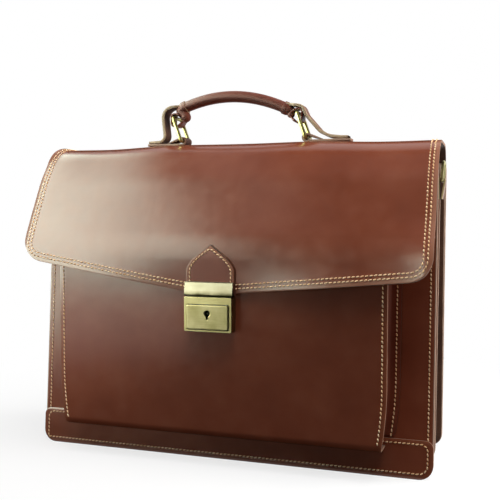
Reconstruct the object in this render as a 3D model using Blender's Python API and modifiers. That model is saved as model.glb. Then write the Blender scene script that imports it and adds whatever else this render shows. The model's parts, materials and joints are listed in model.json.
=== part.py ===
"""Leather briefcase with two compartments, a front pocket, a push lock and a ring-mounted handle.

Metres, +X to the right seen from the front, +Y to the back, +Z up. The origin is on the floor, at
the middle of the base between the front panel's and the back panel's outer faces.
"""

from math import cos, hypot, pi, radians, sin, tan

import bmesh
import bpy
import numpy as np
from mathutils import Matrix, Vector

# Clearance between pieces that touch
GAP = 0.0003

# Body: three leather panels, each sewn to the folded gussets between them
BODY_WIDTH = 0.400
BODY_DEPTH = 0.108
BODY_HEIGHT = 0.284
DIVIDER_RISE = 0.004
BACK_RISE = 0.006
FRONT_SETBACK = 0.0218
PANEL_THICKNESS = 0.0024
BOTTOM_CORNER = 0.013
TOP_CORNER = 0.006
DIVIDER_INSET = 0.003
GUSSET_THICKNESS = 0.0016
GUSSET_FLANGE = 0.009
GUSSET_FOLD = 0.034
GUSSET_FOLD_POWER = 0.6
GUSSET_BELOW_TOP = 0.012

# Pocket, whose panel runs on into the base band
POCKET_WIDTH = 0.324
POCKET_TAPER = 0.005
POCKET_DEPTH = 0.030
POCKET_HEIGHT = 0.203
POCKET_FLOOR = 0.029
POCKET_SETBACK = 0.001
POCKET_THICKNESS = 0.002
POCKET_FOLD_RADIUS = 0.008
POCKET_FLANGE = 0.0075
POCKET_TAPER_SHARE = 1 / 3
POCKET_UNDER_FOLD = 0.003
POCKET_FOOT = 0.0116
POCKET_INNER_RADIUS = 0.004
POCKET_GUSSET_BELOW_TOP = 0.004
POCKET_BELLOWS = 0.007
POCKET_BELLOWS_START = 0.35
POCKET_BELLOWS_RISE = 0.020
BAND_HEIGHT = 0.035
BAND_CORNER = 0.007

# Flap, its rear yoke and the tab above the lock
FLAP_WIDTH = 0.402
FLAP_THICKNESS = 0.0026
FLAP_RISE = 0.026
FLAP_KNEE_ABOVE_POCKET = 0.008
FLAP_KNEE_RADIUS = 0.045
FLAP_BROW_SETBACK = 0.0042
FLAP_BROW_RADIUS = 0.030
FLAP_BACK_RADIUS = 0.020
FLAP_DROOP_LEFT = 0.0025
FLAP_DROOP_RIGHT = 0.0020
FLAP_DROOP_START = 0.060
FLAP_DROOP_RUN = 0.090
FLAP_DROOP_DEPTH = 0.07
FLAP_CORNER = 0.020
HEM_ABOVE_LOCK = 0.0020
HEM_SLOPE_LEFT = 0.155
HEM_SLOPE_RIGHT = 0.10
HEM_FLAT = 0.016
HINGE_ABOVE_BEND = 0.002
YOKE_LENGTH = 0.050
TAB_WIDTH = 0.047
TAB_THICKNESS = 0.0018
TAB_TOP_Z = 0.2091
TAB_POINT = 0.0241
TAB_POINT_POWER = 0.9
TAB_SHELF_CLEARANCE = 0.0015
TAB_NOTCH = 0.55

# Push lock
LOCK_WIDTH = 0.0465
LOCK_BOTTOM = 0.1303
LOCK_HEIGHT = 0.0322
LOCK_DEPTH = 0.0115
LOCK_WALL = 0.0010
LOCK_EDGE = 0.0008
LOCK_BAR_HEIGHT = 0.0062
PLATE_THICKNESS = 0.0025
PLATE_PROUD = 0.0014
PLATE_EDGE = 0.0011
PLATE_TRAVEL = 0.0018
PLATE_CLEARANCE = 0.0006
KEYHOLE_RADIUS = 0.0027
KEYHOLE_SLOT = 0.0024
KEYHOLE_SLOT_REACH = 0.0054
KEYHOLE_BELOW_PLATE_TOP = 0.0082
BARREL_RADIUS = 0.0035
PIN_RADIUS = 0.0007
CATCH_HEIGHT = 0.0030
PIN_SETBACK = 0.0002
SPRING_RADIUS = 0.0022
SPRING_ABOVE_PLATE_FOOT = 0.0075
SPRING_SPREAD = 0.6
SPRING_WIRE = 0.00025
SPRING_TURNS = 4
HASP_WIDTH = 0.047
HASP_GAP = 0.0007
HASP_HEIGHT = 0.0129
HASP_THICKNESS = 0.0063
HASP_TOP_THICKNESS = 0.0039
HASP_EDGE = 0.0013
SHELF_THICKNESS = 0.0010
TONGUE_WIDTH = 0.022
TONGUE_DEPTH = 0.0020
TONGUE_THICKNESS = 0.0012
TONGUE_BACK_CLEARANCE = 0.0008
TONGUE_SLOT_SIDE = 0.001
TONGUE_SLOT_FRONT = 0.0007
TONGUE_SLOT_BACK = 0.0004
BACKING_THICKNESS = 0.001
BACKING_MARGIN = 0.004

# Handle, its rings leaning towards -X at rest
HANDLE_X = 0.0034
HANDLE_Y = 0.003
HANDLE_SPAN = 0.133
HANDLE_LEAN = radians(20)
RING_HEIGHT = 0.0260
RING_WIDTH = 0.022
RING_WIRE = 0.0016
RING_CORNER = 0.003
GRIP_RADIUS = 0.0056
GRIP_WALL = 0.0022
GRIP_RISE = 0.0205
GRIP_APEX = -0.0085
GRIP_BOW = 3.84
GRIP_INSET = {"left": 0.007, "right": 0.012}
LOOP_WALL = 0.0015
LOOP_HOLE_RADIUS = 0.0032
LOOP_HOLE_HEIGHT = 0.0115
LOOP_NECK = 0.0045
STRAP_THICKNESS = 0.0024
STRAP_WIDTH = 0.015
BASE_WIDTH = 0.0156
BASE_LENGTH = {"left": 0.0395, "right": 0.0442}
BASE_FOLD = 0.0165
STRAP_SHORTER = 0.001
# Corners of each strap's line as (outwards, up, arc radius): the upper ones from the ring's top
# bar and the loop's roof, the lower ones from the ring's lower bar and the foot. The lean draws
# the right strap tight and leaves the left one bulging.
STRAP_TOP = {
    "right": ((0.0042, 0.0, 0.006), (0.0080, -0.0092, 0.010)),
    "left": ((0.0018, 0.0, 0.008), (0.0125, 0.0004, 0.007), (0.0133, -0.0084, 0.012)),
}
STRAP_FOOT = {
    "right": ((0.0135, 0.0058, 0.012), (0.0225, 0.0012, 0.020), (0.0340, 0.0, 0.020)),
    "left": ((0.0182, 0.0098, 0.008), (0.0185, 0.0, 0.0035)),
}
STIFFENER_WIDTH = 0.250
STIFFENER_DEPTH = 0.034
STIFFENER_THICKNESS = 0.002

# Strap rings at the sides
SIDE_RING_HEIGHT = 0.0175
SIDE_RING_WIDTH = 0.021
SIDE_RING_WIRE = 0.0013
SIDE_RING_TILT = radians(5)
SIDE_RING_BELOW_TOP = 0.0175
SIDE_TAB_WIDTH = 0.016
SIDE_TAB_LENGTH = 0.0175
SIDE_TAB_LEATHER = 0.0017

# Worked out from the sizes above
FRONT_LEAN = FRONT_SETBACK / BODY_HEIGHT
DIVIDER_LEAN = FRONT_LEAN / 2
HALF = BODY_WIDTH / 2
FRONT_Y = -BODY_DEPTH / 2
BACK_Y = BODY_DEPTH / 2
POCKET_Y = FRONT_Y - POCKET_DEPTH
FLAP_TOP = BODY_HEIGHT + FLAP_RISE
FLAP_FRONT_Y = POCKET_Y - GAP - FLAP_THICKNESS
YOKE_Y = BACK_Y + GAP + FLAP_THICKNESS
LOCK_TOP = LOCK_BOTTOM + LOCK_HEIGHT
LOCK_BACK_Y = POCKET_Y - GAP
LOCK_FRONT_Y = LOCK_BACK_Y - LOCK_DEPTH
HEM_Z = LOCK_TOP + HEM_ABOVE_LOCK
SHAPES = {}


def collection(name, parent):
    made = bpy.data.collections.new(name)
    parent.children.link(made)
    return made


def material(name, colour, roughness, metallic=0.0):
    made = bpy.data.materials.new(name)
    made.use_nodes = True
    shader = made.node_tree.nodes["Principled BSDF"]
    shader.inputs["Base Color"].default_value = (*colour, 1)
    shader.inputs["Roughness"].default_value = roughness
    shader.inputs["Metallic"].default_value = metallic
    made.diffuse_color = (*colour, 1)
    return made


def add(name, mesh, finish=None, smooth=True):
    """A part where a finish is given, and a cutter where none is."""
    made = bpy.data.objects.new(name, mesh)
    if finish:
        mesh.materials.append(finish)
        SHAPES["parts"].objects.link(made)
    else:
        SHAPES["cutters"].objects.link(made)
        made.hide_render = True
        made.display_type = "WIRE"
    if smooth:
        mesh.shade_smooth()
        mesh.set_sharp_from_angle(angle=radians(40))
    return made


def pivot_at(made, point):
    """Moves the origin onto a joint's axis and leaves the shape where it is."""
    made.data.transform(Matrix.Translation(-Vector(point)))
    made.location = point
    return made


def boolean(target, tool, operation):
    step = target.modifiers.new(f"{operation.lower()} {tool.name}", "BOOLEAN")
    step.operation = operation
    step.solver = "EXACT"
    step.object = tool
    return target


# Shapes


def rounded(points, radii, closed=False, steps=5):
    """The plane path through the points, each corner replaced by an arc of its radius."""
    points = [np.array(point, float) for point in points]
    path = []
    for i, (corner, radius) in enumerate(zip(points, radii)):
        if radius == 0 or (not closed and i in (0, len(points) - 1)):
            path.append(corner)
            continue
        before = points[i - 1] - corner
        after = points[(i + 1) % len(points)] - corner
        room = min(hypot(*before), hypot(*after)) * 0.49
        before /= hypot(*before)
        after /= hypot(*after)
        half = np.arccos(np.clip(before @ after, -1, 1)) / 2
        reach = min(radius / tan(half), room)
        centre = corner + (before + after) / hypot(*(before + after)) * reach / cos(half)
        start = corner + before * reach - centre
        end = corner + after * reach - centre
        turn = pi - 2 * half
        for k in range(steps + 1):
            first = sin(turn * (1 - k / steps)) / sin(turn)
            second = sin(turn * k / steps) / sin(turn)
            path.append(centre + start * first + end * second)
    return np.array(path)


def lengths_of(path):
    """The distance along the path to each of its points."""
    return np.concatenate([[0], np.cumsum(np.linalg.norm(np.diff(path, axis=0), axis=1))])


def resample(path, distances):
    lengths = lengths_of(path)
    return np.stack([np.interp(distances, lengths, path[:, k]) for k in range(path.shape[1])], -1)


def sheet(name, grid, thickness, finish, flip=False):
    """An open surface over a grid of points, given its wall on the side its faces turn from."""
    rows, columns = grid.shape[:2]
    corner = np.arange(rows * columns).reshape(rows, columns)
    quads = np.stack([corner[:-1, :-1], corner[:-1, 1:], corner[1:, 1:], corner[1:, :-1]], -1)
    quads = quads.reshape(-1, 4)
    if flip:
        quads = quads[:, ::-1]
    mesh = bpy.data.meshes.new(name)
    mesh.from_pydata(grid.reshape(-1, 3).tolist(), [], quads.tolist())
    made = add(name, mesh, finish)
    wall = made.modifiers.new("wall", "SOLIDIFY")
    wall.thickness = thickness
    wall.offset = -1
    wall.use_even_offset = True
    return made


def flat_plate(name, outlines, thickness, place, finish=None, smooth=False):
    """A flat outline, with its holes if it has any, extruded about its own plane."""
    curve = bpy.data.curves.new(name, "CURVE")
    curve.dimensions = "2D"
    curve.fill_mode = "BOTH"
    curve.extrude = thickness / 2
    for outline in outlines:
        spline = curve.splines.new("POLY")
        spline.points.add(len(outline) - 1)
        for point, (u, v) in zip(spline.points, outline):
            point.co = (u, v, 0, 1)
        spline.use_cyclic_u = True
    return add(name, as_mesh(curve, place), finish, smooth)


def tube(name, points, radius, finish, sides=2, closed=False, caps=True):
    """A round wire or rope along a path of points."""
    curve = bpy.data.curves.new(name, "CURVE")
    curve.dimensions = "3D"
    curve.bevel_depth = radius
    curve.bevel_resolution = sides
    curve.use_fill_caps = caps and not closed
    curve.twist_mode = "Z_UP"
    spline = curve.splines.new("POLY")
    spline.points.add(len(points) - 1)
    for place, point in zip(spline.points, points):
        place.co = (*point, 1)
    spline.use_cyclic_u = closed
    return add(name, as_mesh(curve, Matrix()), finish)


def as_mesh(curve, place):
    """The curve's solid as a mesh in world space, its caps welded to its sides."""
    made = bpy.data.objects.new("curve", curve)
    SHAPES["cutters"].objects.link(made)
    graph = bpy.context.evaluated_depsgraph_get()
    mesh = bpy.data.meshes.new_from_object(made.evaluated_get(graph), depsgraph=graph)
    bpy.data.objects.remove(made)
    bpy.data.curves.remove(curve)
    shape = bmesh.new()
    shape.from_mesh(mesh)
    bmesh.ops.remove_doubles(shape, verts=shape.verts, dist=1e-6)
    bmesh.ops.transform(shape, matrix=place, verts=shape.verts)
    bmesh.ops.recalc_face_normals(shape, faces=shape.faces)
    shape.to_mesh(mesh)
    shape.free()
    return mesh


def block(name, low, high, finish=None, round_edges=0.0, segments=2):
    size = [b - a for a, b in zip(low, high)]
    middle = [(a + b) / 2 for a, b in zip(low, high)]
    shape = bmesh.new()
    place = Matrix.Translation(middle) @ Matrix.Diagonal((*size, 1))
    bmesh.ops.create_cube(shape, size=1, matrix=place)
    mesh = bpy.data.meshes.new(name)
    shape.to_mesh(mesh)
    shape.free()
    made = add(name, mesh, finish, smooth=False)
    if round_edges:
        bevel = made.modifiers.new("rounded edges", "BEVEL")
        bevel.width = round_edges
        bevel.segments = segments
    return made


def disc(name, centre, radius, depth, finish=None, sides=24):
    """A cylinder along Y."""
    shape = bmesh.new()
    place = Matrix.Translation(centre) @ Matrix.Rotation(pi / 2, 4, "X")
    bmesh.ops.create_cone(
        shape,
        cap_ends=True,
        segments=sides,
        radius1=radius,
        radius2=radius,
        depth=depth,
        matrix=place,
    )
    mesh = bpy.data.meshes.new(name)
    shape.to_mesh(mesh)
    shape.free()
    return add(name, mesh, finish)


def upright(y, lean=0.0):
    """Stands a flat outline up in the XZ plane at y, its top leaning back."""
    shear = Matrix.Identity(4)
    shear[1][2] = lean
    return Matrix.Translation((0, y, 0)) @ shear @ Matrix.Rotation(pi / 2, 4, "X")


# Body


def front_face(z):
    """Y of the front panel's outer face."""
    return FRONT_Y + FRONT_LEAN * z


def divider_face(z):
    """Y of the divider's front face; its middle plane stands on the origin."""
    return DIVIDER_LEAN * z - PANEL_THICKNESS / 2


def panel_outline(half, height):
    corners = [(-half, 0), (half, 0), (half, height), (-half, height)]
    radii = [BOTTOM_CORNER, BOTTOM_CORNER, TOP_CORNER, TOP_CORNER]
    return rounded(corners, radii, closed=True)


def build_panels(leather):
    thick = PANEL_THICKNESS
    outline = panel_outline(HALF, BODY_HEIGHT)
    flat_plate("front_panel", [outline], thick, upright(FRONT_Y + thick / 2, FRONT_LEAN), leather)
    outline = panel_outline(HALF - DIVIDER_INSET, BODY_HEIGHT + DIVIDER_RISE)
    flat_plate("divider_panel", [outline], thick, upright(0, DIVIDER_LEAN), leather)
    outline = panel_outline(HALF, BODY_HEIGHT + BACK_RISE)
    flat_plate("back_panel", [outline], thick, upright(BACK_Y - thick / 2), leather)


def gusset(name, path, inward, folds, faces, insets, leather):
    """A strip along the panels' edge: a flange on each panel, and an inward fold between them."""
    front, back = faces
    levels = [(insets[0], 0), (insets[0] + GUSSET_FLANGE, 0), (None, 0.5)]
    levels += [(insets[1] + GUSSET_FLANGE, 1), (insets[1], 1)]
    columns = []
    for depth, share in levels:
        reach = GUSSET_FLANGE + max(insets) + folds if depth is None else depth
        place = path + inward * np.reshape(reach * np.ones(len(path)), (-1, 1))
        near = front(place[:, 1])
        far = back(place[:, 1])
        columns.append(np.stack([place[:, 0], near + (far - near) * share, place[:, 1]], -1))
    grid = np.stack(columns, 1)
    return sheet(name, grid, GUSSET_THICKNESS, leather, flip=path[0][0] < 0)


def build_gussets(leather):
    thick = PANEL_THICKNESS
    compartments = {
        "front": (
            (lambda z: front_face(z) + thick + GAP, lambda z: divider_face(z) - GAP),
            (0.0, DIVIDER_INSET),
        ),
        "rear": (
            (lambda z: divider_face(z) + thick + GAP, lambda z: BACK_Y - thick - GAP + 0 * z),
            (DIVIDER_INSET, 0.0),
        ),
    }
    top = BODY_HEIGHT - GUSSET_BELOW_TOP
    for compartment, (faces, insets) in compartments.items():
        heights = np.linspace(top, BOTTOM_CORNER, 9)
        side = np.stack([np.full(9, HALF), heights], -1)
        side_normals = np.tile([-1.0, 0.0], (9, 1))
        turns = np.radians([18, 36, 54, 72, 88])
        centre = np.array([HALF - BOTTOM_CORNER, BOTTOM_CORNER])
        outward = np.stack([np.cos(turns), -np.sin(turns)], -1)
        path = np.concatenate([side, centre + outward * BOTTOM_CORNER])
        normals = np.concatenate([side_normals, -outward])
        share = lengths_of(path)[::-1] / lengths_of(path)[-1]
        folds = GUSSET_FOLD * np.sin(share * pi / 2) ** GUSSET_FOLD_POWER
        for hand, name in ((1, "right"), (-1, "left")):
            flipped = np.array([hand, 1])
            label = f"gusset_{compartment}_{name}"
            gusset(label, path * flipped, normals * flipped, folds, faces, insets, leather)
        reach = HALF - BOTTOM_CORNER - GAP
        base = np.stack([np.linspace(reach, -reach, 5), np.zeros(5)], -1)
        normals = np.tile([0.0, 1.0], (5, 1))
        flat = np.full(5, -max(insets) / 2)
        gusset(f"gusset_{compartment}_base", base, normals, flat, faces, insets, leather)


# Pocket


def pocket_half(z):
    """Half of the pocket's width, a little narrower towards its floor."""
    share = np.clip((z - POCKET_FLOOR) / (POCKET_HEIGHT - POCKET_FLOOR) / POCKET_TAPER_SHARE, 0, 1)
    return POCKET_WIDTH / 2 - POCKET_TAPER * (1 - share) ** 2


def pocket_face(z):
    """Y of the pocket panel's outer face above its fold."""
    return POCKET_Y + POCKET_SETBACK * (z - POCKET_FLOOR) / (POCKET_HEIGHT - POCKET_FLOOR)


def build_pocket(leather):
    thick = POCKET_THICKNESS
    skin = thick / 10
    band_y = front_face(0) - GAP
    corners = [(-HALF, 0), (HALF, 0), (HALF, BAND_HEIGHT), (-HALF, BAND_HEIGHT)]
    outline = rounded(corners, [BOTTOM_CORNER, BOTTOM_CORNER, BAND_CORNER, BAND_CORNER], closed=True)
    place = upright(band_y - thick / 2, FRONT_LEAN)
    band = flat_plate("band_shape", [outline], thick, place)
    low = POCKET_FOOT
    fold = POCKET_FLOOR - POCKET_UNDER_FOLD
    corners = [
        (front_face(low) - GAP - thick + skin, low),
        (front_face(fold) - GAP - thick + skin, fold),
        (POCKET_Y, POCKET_FLOOR),
        (pocket_face(POCKET_HEIGHT), POCKET_HEIGHT),
    ]
    profile = rounded(corners, [0, POCKET_INNER_RADIUS, POCKET_FOLD_RADIUS, 0])
    widths = pocket_half(profile[:, 1])
    across = np.linspace(1, -1, 7)
    grid = np.empty((len(profile), len(across), 3))
    grid[..., 0] = widths[:, None] * across
    grid[..., 1] = profile[:, :1]
    grid[..., 2] = profile[:, 1:]
    panel = sheet("pocket_panel", grid, thick - 2 * skin, leather, flip=True)
    boolean(panel, band, "UNION")

    low = POCKET_FLOOR + POCKET_FOLD_RADIUS
    heights = np.linspace(low, POCKET_HEIGHT - POCKET_GUSSET_BELOW_TOP, 8)
    half = pocket_half(heights)
    inner = pocket_face(heights) + thick + GAP
    outer = front_face(heights) - GAP
    middle = (inner + outer) / 2
    taper = np.minimum(1, POCKET_BELLOWS_START + (heights - low) / POCKET_BELLOWS_RISE)
    sections = [
        (half, inner),
        (half - POCKET_FLANGE, inner),
        (half - POCKET_FLANGE - POCKET_BELLOWS * taper, middle),
        (half - POCKET_FLANGE / 2, outer),
        (half + POCKET_FLANGE, outer),
    ]
    for hand, name in ((1, "right"), (-1, "left")):
        columns = [np.stack([hand * x, y, heights], -1) for x, y in sections]
        grid = np.stack(columns, 1)
        sheet(f"pocket_gusset_{name}", grid, GUSSET_THICKNESS, leather, flip=hand > 0)


# Flap


def flap_path():
    """The flap's outer line in the YZ plane: up the front, over the top and down the back."""
    foot = LOCK_BOTTOM
    knee = POCKET_HEIGHT + FLAP_KNEE_ABOVE_POCKET
    brow = front_face(BODY_HEIGHT) + FLAP_BROW_SETBACK
    corners = [
        (FLAP_FRONT_Y, foot),
        (FLAP_FRONT_Y, knee),
        (brow, FLAP_TOP),
        (YOKE_Y, FLAP_TOP),
        (YOKE_Y, FLAP_TOP - FLAP_BACK_RADIUS - YOKE_LENGTH),
    ]
    radii = [0, FLAP_KNEE_RADIUS, FLAP_BROW_RADIUS, FLAP_BACK_RADIUS, 0]
    return rounded(corners, radii, steps=12)


def on_flap(along, x, out=0.0):
    """Points at these distances along the flap's line and at x, raised by out from its face."""
    path = flap_path()
    place = resample(path, along)
    ahead = resample(path, along + 0.0005)
    behind = resample(path, along - 0.0005)
    course = ahead - behind
    course /= np.linalg.norm(course, axis=-1, keepdims=True)
    y = place[..., 0] - course[..., 1] * out
    z = place[..., 1] + course[..., 0] * out
    high = np.clip(1 - (FLAP_TOP - z) / FLAP_DROOP_DEPTH, 0, 1)
    most = np.where(x > 0, FLAP_DROOP_RIGHT, FLAP_DROOP_LEFT)
    along_top = np.clip((np.abs(x) - FLAP_DROOP_START) / FLAP_DROOP_RUN, 0, 1)
    droop = most * (1 - np.cos(pi * along_top)) / 2 * high
    return np.stack([x + 0 * y, y, z - droop], -1)


def flap_columns():
    """X of the flap's columns, closer together round its corners."""
    half = FLAP_WIDTH / 2
    corner = half - FLAP_CORNER * (1 - np.sin(np.radians([0, 18, 36, 54, 70, 90])))
    middle = np.linspace(0, half - FLAP_CORNER, 5)[:-1]
    side = np.concatenate([middle, corner])
    return np.concatenate([-side[:0:-1], side])


def corner_lift(x):
    """How far an edge rises towards the sides, round its corners."""
    over = np.clip(np.abs(x) - (FLAP_WIDTH / 2 - FLAP_CORNER), 0, FLAP_CORNER)
    return FLAP_CORNER - np.sqrt(FLAP_CORNER**2 - over**2)


def flap_stations():
    """Distances along the flap's line to the bend's front edge, its back edge and the yoke's hem."""
    path = flap_path()
    lengths = lengths_of(path)
    total = lengths[-1]
    rear = total - YOKE_LENGTH
    bend = FLAP_BACK_RADIUS * pi / 2
    return rear - bend, rear, total


def hinge_point():
    """On the leather's outer face, where the flap folds over the back panel's top edge."""
    return Vector((0, YOKE_Y, FLAP_TOP - FLAP_BACK_RADIUS + HINGE_ABOVE_BEND))


def hem_rise(x):
    """How far the hem rises towards each side from its lowest point, over the lock."""
    slope = np.where(x > 0, HEM_SLOPE_RIGHT, HEM_SLOPE_LEFT)
    return slope * (np.hypot(x, HEM_FLAT) - HEM_FLAT)


def build_flap(leather):
    x = flap_columns()
    front, rear, hem = flap_stations()
    edge = HEM_Z - LOCK_BOTTOM + hem_rise(x) + corner_lift(x)
    shares = np.linspace(0, 1, 30)[:, None]
    flap = sheet("flap", on_flap(edge + (front - GAP - edge) * shares, x), FLAP_THICKNESS, leather)
    pivot_at(flap, hinge_point())
    shares = np.linspace(0, 1, 8)[:, None]
    bend = on_flap(front + GAP + (rear - front - 2 * GAP) * shares + 0 * x, x)
    sheet("flap_bend", bend, FLAP_THICKNESS, leather)
    end = hem - corner_lift(x)
    shares = np.linspace(0, 1, 5)[:, None]
    sheet("flap_yoke", on_flap(rear + GAP + (end - rear - GAP) * shares, x), FLAP_THICKNESS, leather)


def build_lock_tab(leather):
    """The pointed doubling of leather above the lock, cut out below for the hasp's shelf."""
    side_foot = LOCK_TOP + HASP_GAP
    middle_foot = HEM_Z + TAB_SHELF_CLEARANCE
    shoulder = TAB_TOP_Z - TAB_POINT
    shares = np.array([-1, -TAB_NOTCH, 0, TAB_NOTCH, 1])
    foot = np.where(np.abs(shares) < 1, middle_foot, side_foot)
    straight = foot + (shoulder - foot) * np.linspace(0, 1, 4)[:, None]
    point = shoulder + TAB_POINT * np.sin(np.linspace(0, pi / 2, 10)[1:])
    rise = np.concatenate([straight, point[:, None] + 0 * shares]) - LOCK_BOTTOM
    left = np.clip((TAB_TOP_Z - LOCK_BOTTOM - rise) / TAB_POINT, 0.0004, 1)
    half = TAB_WIDTH / 2 * np.sin(left * pi / 2) ** TAB_POINT_POWER
    grid = on_flap(rise, half * shares, GAP + TAB_THICKNESS)
    tab = sheet("lock_tab", grid, TAB_THICKNESS, leather)
    pivot_at(tab, hinge_point())


# Lock


def plate_box():
    """X half, bottom and top of the push plate, inside the case's lip."""
    half = LOCK_WIDTH / 2 - LOCK_WALL - 2 * PLATE_CLEARANCE
    bottom = LOCK_BOTTOM + LOCK_WALL + PLATE_CLEARANCE
    top = LOCK_TOP - LOCK_BAR_HEIGHT - PLATE_CLEARANCE
    return half, bottom, top


def build_lock_case(brass):
    half = LOCK_WIDTH / 2
    low = (-half, LOCK_FRONT_Y, LOCK_BOTTOM)
    high = (half, LOCK_BACK_Y, LOCK_TOP)
    case = block("lock_case", low, high, brass, round_edges=LOCK_EDGE)
    inside = half - LOCK_WALL
    plate_half, bottom, top = plate_box()
    window = block(
        "window_shape",
        (-plate_half - PLATE_CLEARANCE, LOCK_FRONT_Y - LOCK_DEPTH, bottom - PLATE_CLEARANCE),
        (plate_half + PLATE_CLEARANCE, LOCK_FRONT_Y + 2 * LOCK_WALL, top + PLATE_CLEARANCE),
    )
    cavity = block(
        "cavity_shape",
        (-inside, LOCK_FRONT_Y + LOCK_WALL, LOCK_BOTTOM + LOCK_WALL),
        (inside, LOCK_BACK_Y - LOCK_WALL, LOCK_TOP - LOCK_WALL),
    )
    back, front = tongue_faces()
    slot_half = TONGUE_WIDTH / 2 + TONGUE_SLOT_SIDE
    slot = block(
        "slot_shape",
        (-slot_half, front - TONGUE_DEPTH - TONGUE_SLOT_FRONT, LOCK_TOP - 2 * LOCK_WALL),
        (slot_half, back + TONGUE_SLOT_BACK, LOCK_TOP + LOCK_DEPTH),
    )
    for tool in (window, cavity, slot):
        boolean(case, tool, "DIFFERENCE")


def tongue_faces():
    """Y of the tongue's back and front faces, just clear of the lock case's back wall."""
    back = LOCK_BACK_Y - LOCK_WALL - TONGUE_BACK_CLEARANCE
    return back, back - TONGUE_THICKNESS


def keyhole_centre():
    return plate_box()[2] - KEYHOLE_BELOW_PLATE_TOP


def build_push_plate(brass):
    half, bottom, top = plate_box()
    front = LOCK_FRONT_Y - PLATE_PROUD
    low = (-half, front, bottom)
    high = (half, front + PLATE_THICKNESS, top)
    plate = block("push_plate", low, high, brass, round_edges=PLATE_EDGE)
    middle = (front + front + PLATE_THICKNESS) / 2
    eye = keyhole_centre()
    round_hole = disc("keyhole_shape", (0, middle, eye), KEYHOLE_RADIUS, LOCK_DEPTH)
    slot = block(
        "keyhole_slot_shape",
        (-KEYHOLE_SLOT / 2, middle - PLATE_THICKNESS, eye - KEYHOLE_SLOT_REACH),
        (KEYHOLE_SLOT / 2, middle + PLATE_THICKNESS, eye),
    )
    boolean(plate, round_hole, "DIFFERENCE")
    boolean(plate, slot, "DIFFERENCE")
    pivot_at(plate, (0, middle, (bottom + top) / 2))


def barrel_front():
    """Y of the barrel's front face, clear of the push plate when that is pressed in."""
    return LOCK_FRONT_Y - PLATE_PROUD + PLATE_THICKNESS + PLATE_TRAVEL + GAP


def build_lock_insides(brass, steel):
    eye = keyhole_centre()
    wall = LOCK_BACK_Y - LOCK_WALL
    front = barrel_front()
    back = wall - GAP
    barrel = disc("key_barrel", (0, (front + back) / 2, eye), BARREL_RADIUS, back - front, brass)
    tip = LOCK_FRONT_Y + PIN_SETBACK
    pin = disc("pin_shape", (0, (tip + back) / 2, eye), PIN_RADIUS, back - tip, sides=12)
    pin.data.transform(Matrix.Translation((0, -GAP / 2, 0)))
    boolean(barrel, pin, "UNION")
    pivot_at(barrel, (0, front, eye))

    half = LOCK_WIDTH / 2 - LOCK_WALL - GAP
    bottom = eye + BARREL_RADIUS + PLATE_TRAVEL + GAP
    low = (-half, front, bottom)
    catch = block("catch_bar", low, (half, back, bottom + CATCH_HEIGHT), steel, round_edges=CATCH_HEIGHT / 8)
    pivot_at(catch, (0, (front + back) / 2, bottom))

    half, plate_bottom, plate_top = plate_box()
    start = LOCK_FRONT_Y - PLATE_PROUD + PLATE_THICKNESS + GAP + SPRING_WIRE
    end = wall - GAP - SPRING_WIRE
    turns = np.linspace(0, SPRING_TURNS, SPRING_TURNS * 9 + 1)
    for hand, name in ((1, "right"), (-1, "left")):
        x = hand * half * SPRING_SPREAD + SPRING_RADIUS * np.cos(turns * 2 * pi)
        z = plate_bottom + SPRING_ABOVE_PLATE_FOOT + SPRING_RADIUS * np.sin(turns * 2 * pi)
        y = start + (end - start) * turns / SPRING_TURNS
        tube(f"plate_spring_{name}", np.stack([x, y, z], -1), SPRING_WIRE, steel, sides=1)

    inner = POCKET_Y + POCKET_SETBACK + POCKET_THICKNESS + GAP
    half = LOCK_WIDTH / 2 - BACKING_MARGIN
    low = (-half, inner, LOCK_BOTTOM + BACKING_MARGIN)
    high = (half, inner + BACKING_THICKNESS, LOCK_TOP - BACKING_MARGIN)
    block("lock_backing_plate", low, high, steel)


def build_hasp(brass):
    """The plate on the flap's edge, with the tongue that drops into the lock case."""
    back = FLAP_FRONT_Y - GAP - TAB_THICKNESS - GAP
    bottom = LOCK_TOP + HASP_GAP
    top = bottom + HASP_HEIGHT
    corners = [
        (back, bottom),
        (back - HASP_THICKNESS, bottom),
        (back - HASP_TOP_THICKNESS, top),
        (back, top),
    ]
    outline = rounded(corners, [0, HASP_EDGE, HASP_EDGE, 0], closed=True, steps=4)
    along_x = Matrix(((0, 0, 1, 0), (1, 0, 0, 0), (0, 1, 0, 0), (0, 0, 0, 1)))
    hasp = flat_plate("hasp_plate", [outline], HASP_WIDTH, along_x, brass)
    tongue_back, tongue_front = tongue_faces()
    shelf = block(
        "shelf_shape",
        (-TONGUE_WIDTH / 2, back - HASP_THICKNESS / 2, bottom + GAP / 2),
        (TONGUE_WIDTH / 2, tongue_back, bottom + SHELF_THICKNESS),
    )
    tongue = block(
        "tongue_shape",
        (-TONGUE_WIDTH / 2 + GAP, tongue_front, LOCK_TOP - TONGUE_DEPTH),
        (TONGUE_WIDTH / 2 - GAP, tongue_back - GAP / 2, bottom + SHELF_THICKNESS - GAP / 2),
    )
    boolean(hasp, shelf, "UNION")
    boolean(hasp, tongue, "UNION")
    pivot_at(hasp, hinge_point())


# Handle


def bar_height():
    """Z of the ring's lower bar, held in the base tab's loop on top of the flap."""
    return FLAP_TOP + GAP + STRAP_THICKNESS + RING_WIRE + GAP


def handle_x():
    """X of the grip's middle at rest, where the leaning rings have carried it."""
    return HANDLE_X - RING_HEIGHT * sin(HANDLE_LEAN)


def top_bar_height():
    return bar_height() + RING_HEIGHT * cos(HANDLE_LEAN)


def ring_path(width, height, corner):
    """A rounded rectangle in (across, up), its lower bar's middle at the origin."""
    half = width / 2
    corners = [(-half, 0), (half, 0), (half, height), (-half, height)]
    return rounded(corners, [corner] * 4, closed=True, steps=4)


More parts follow.
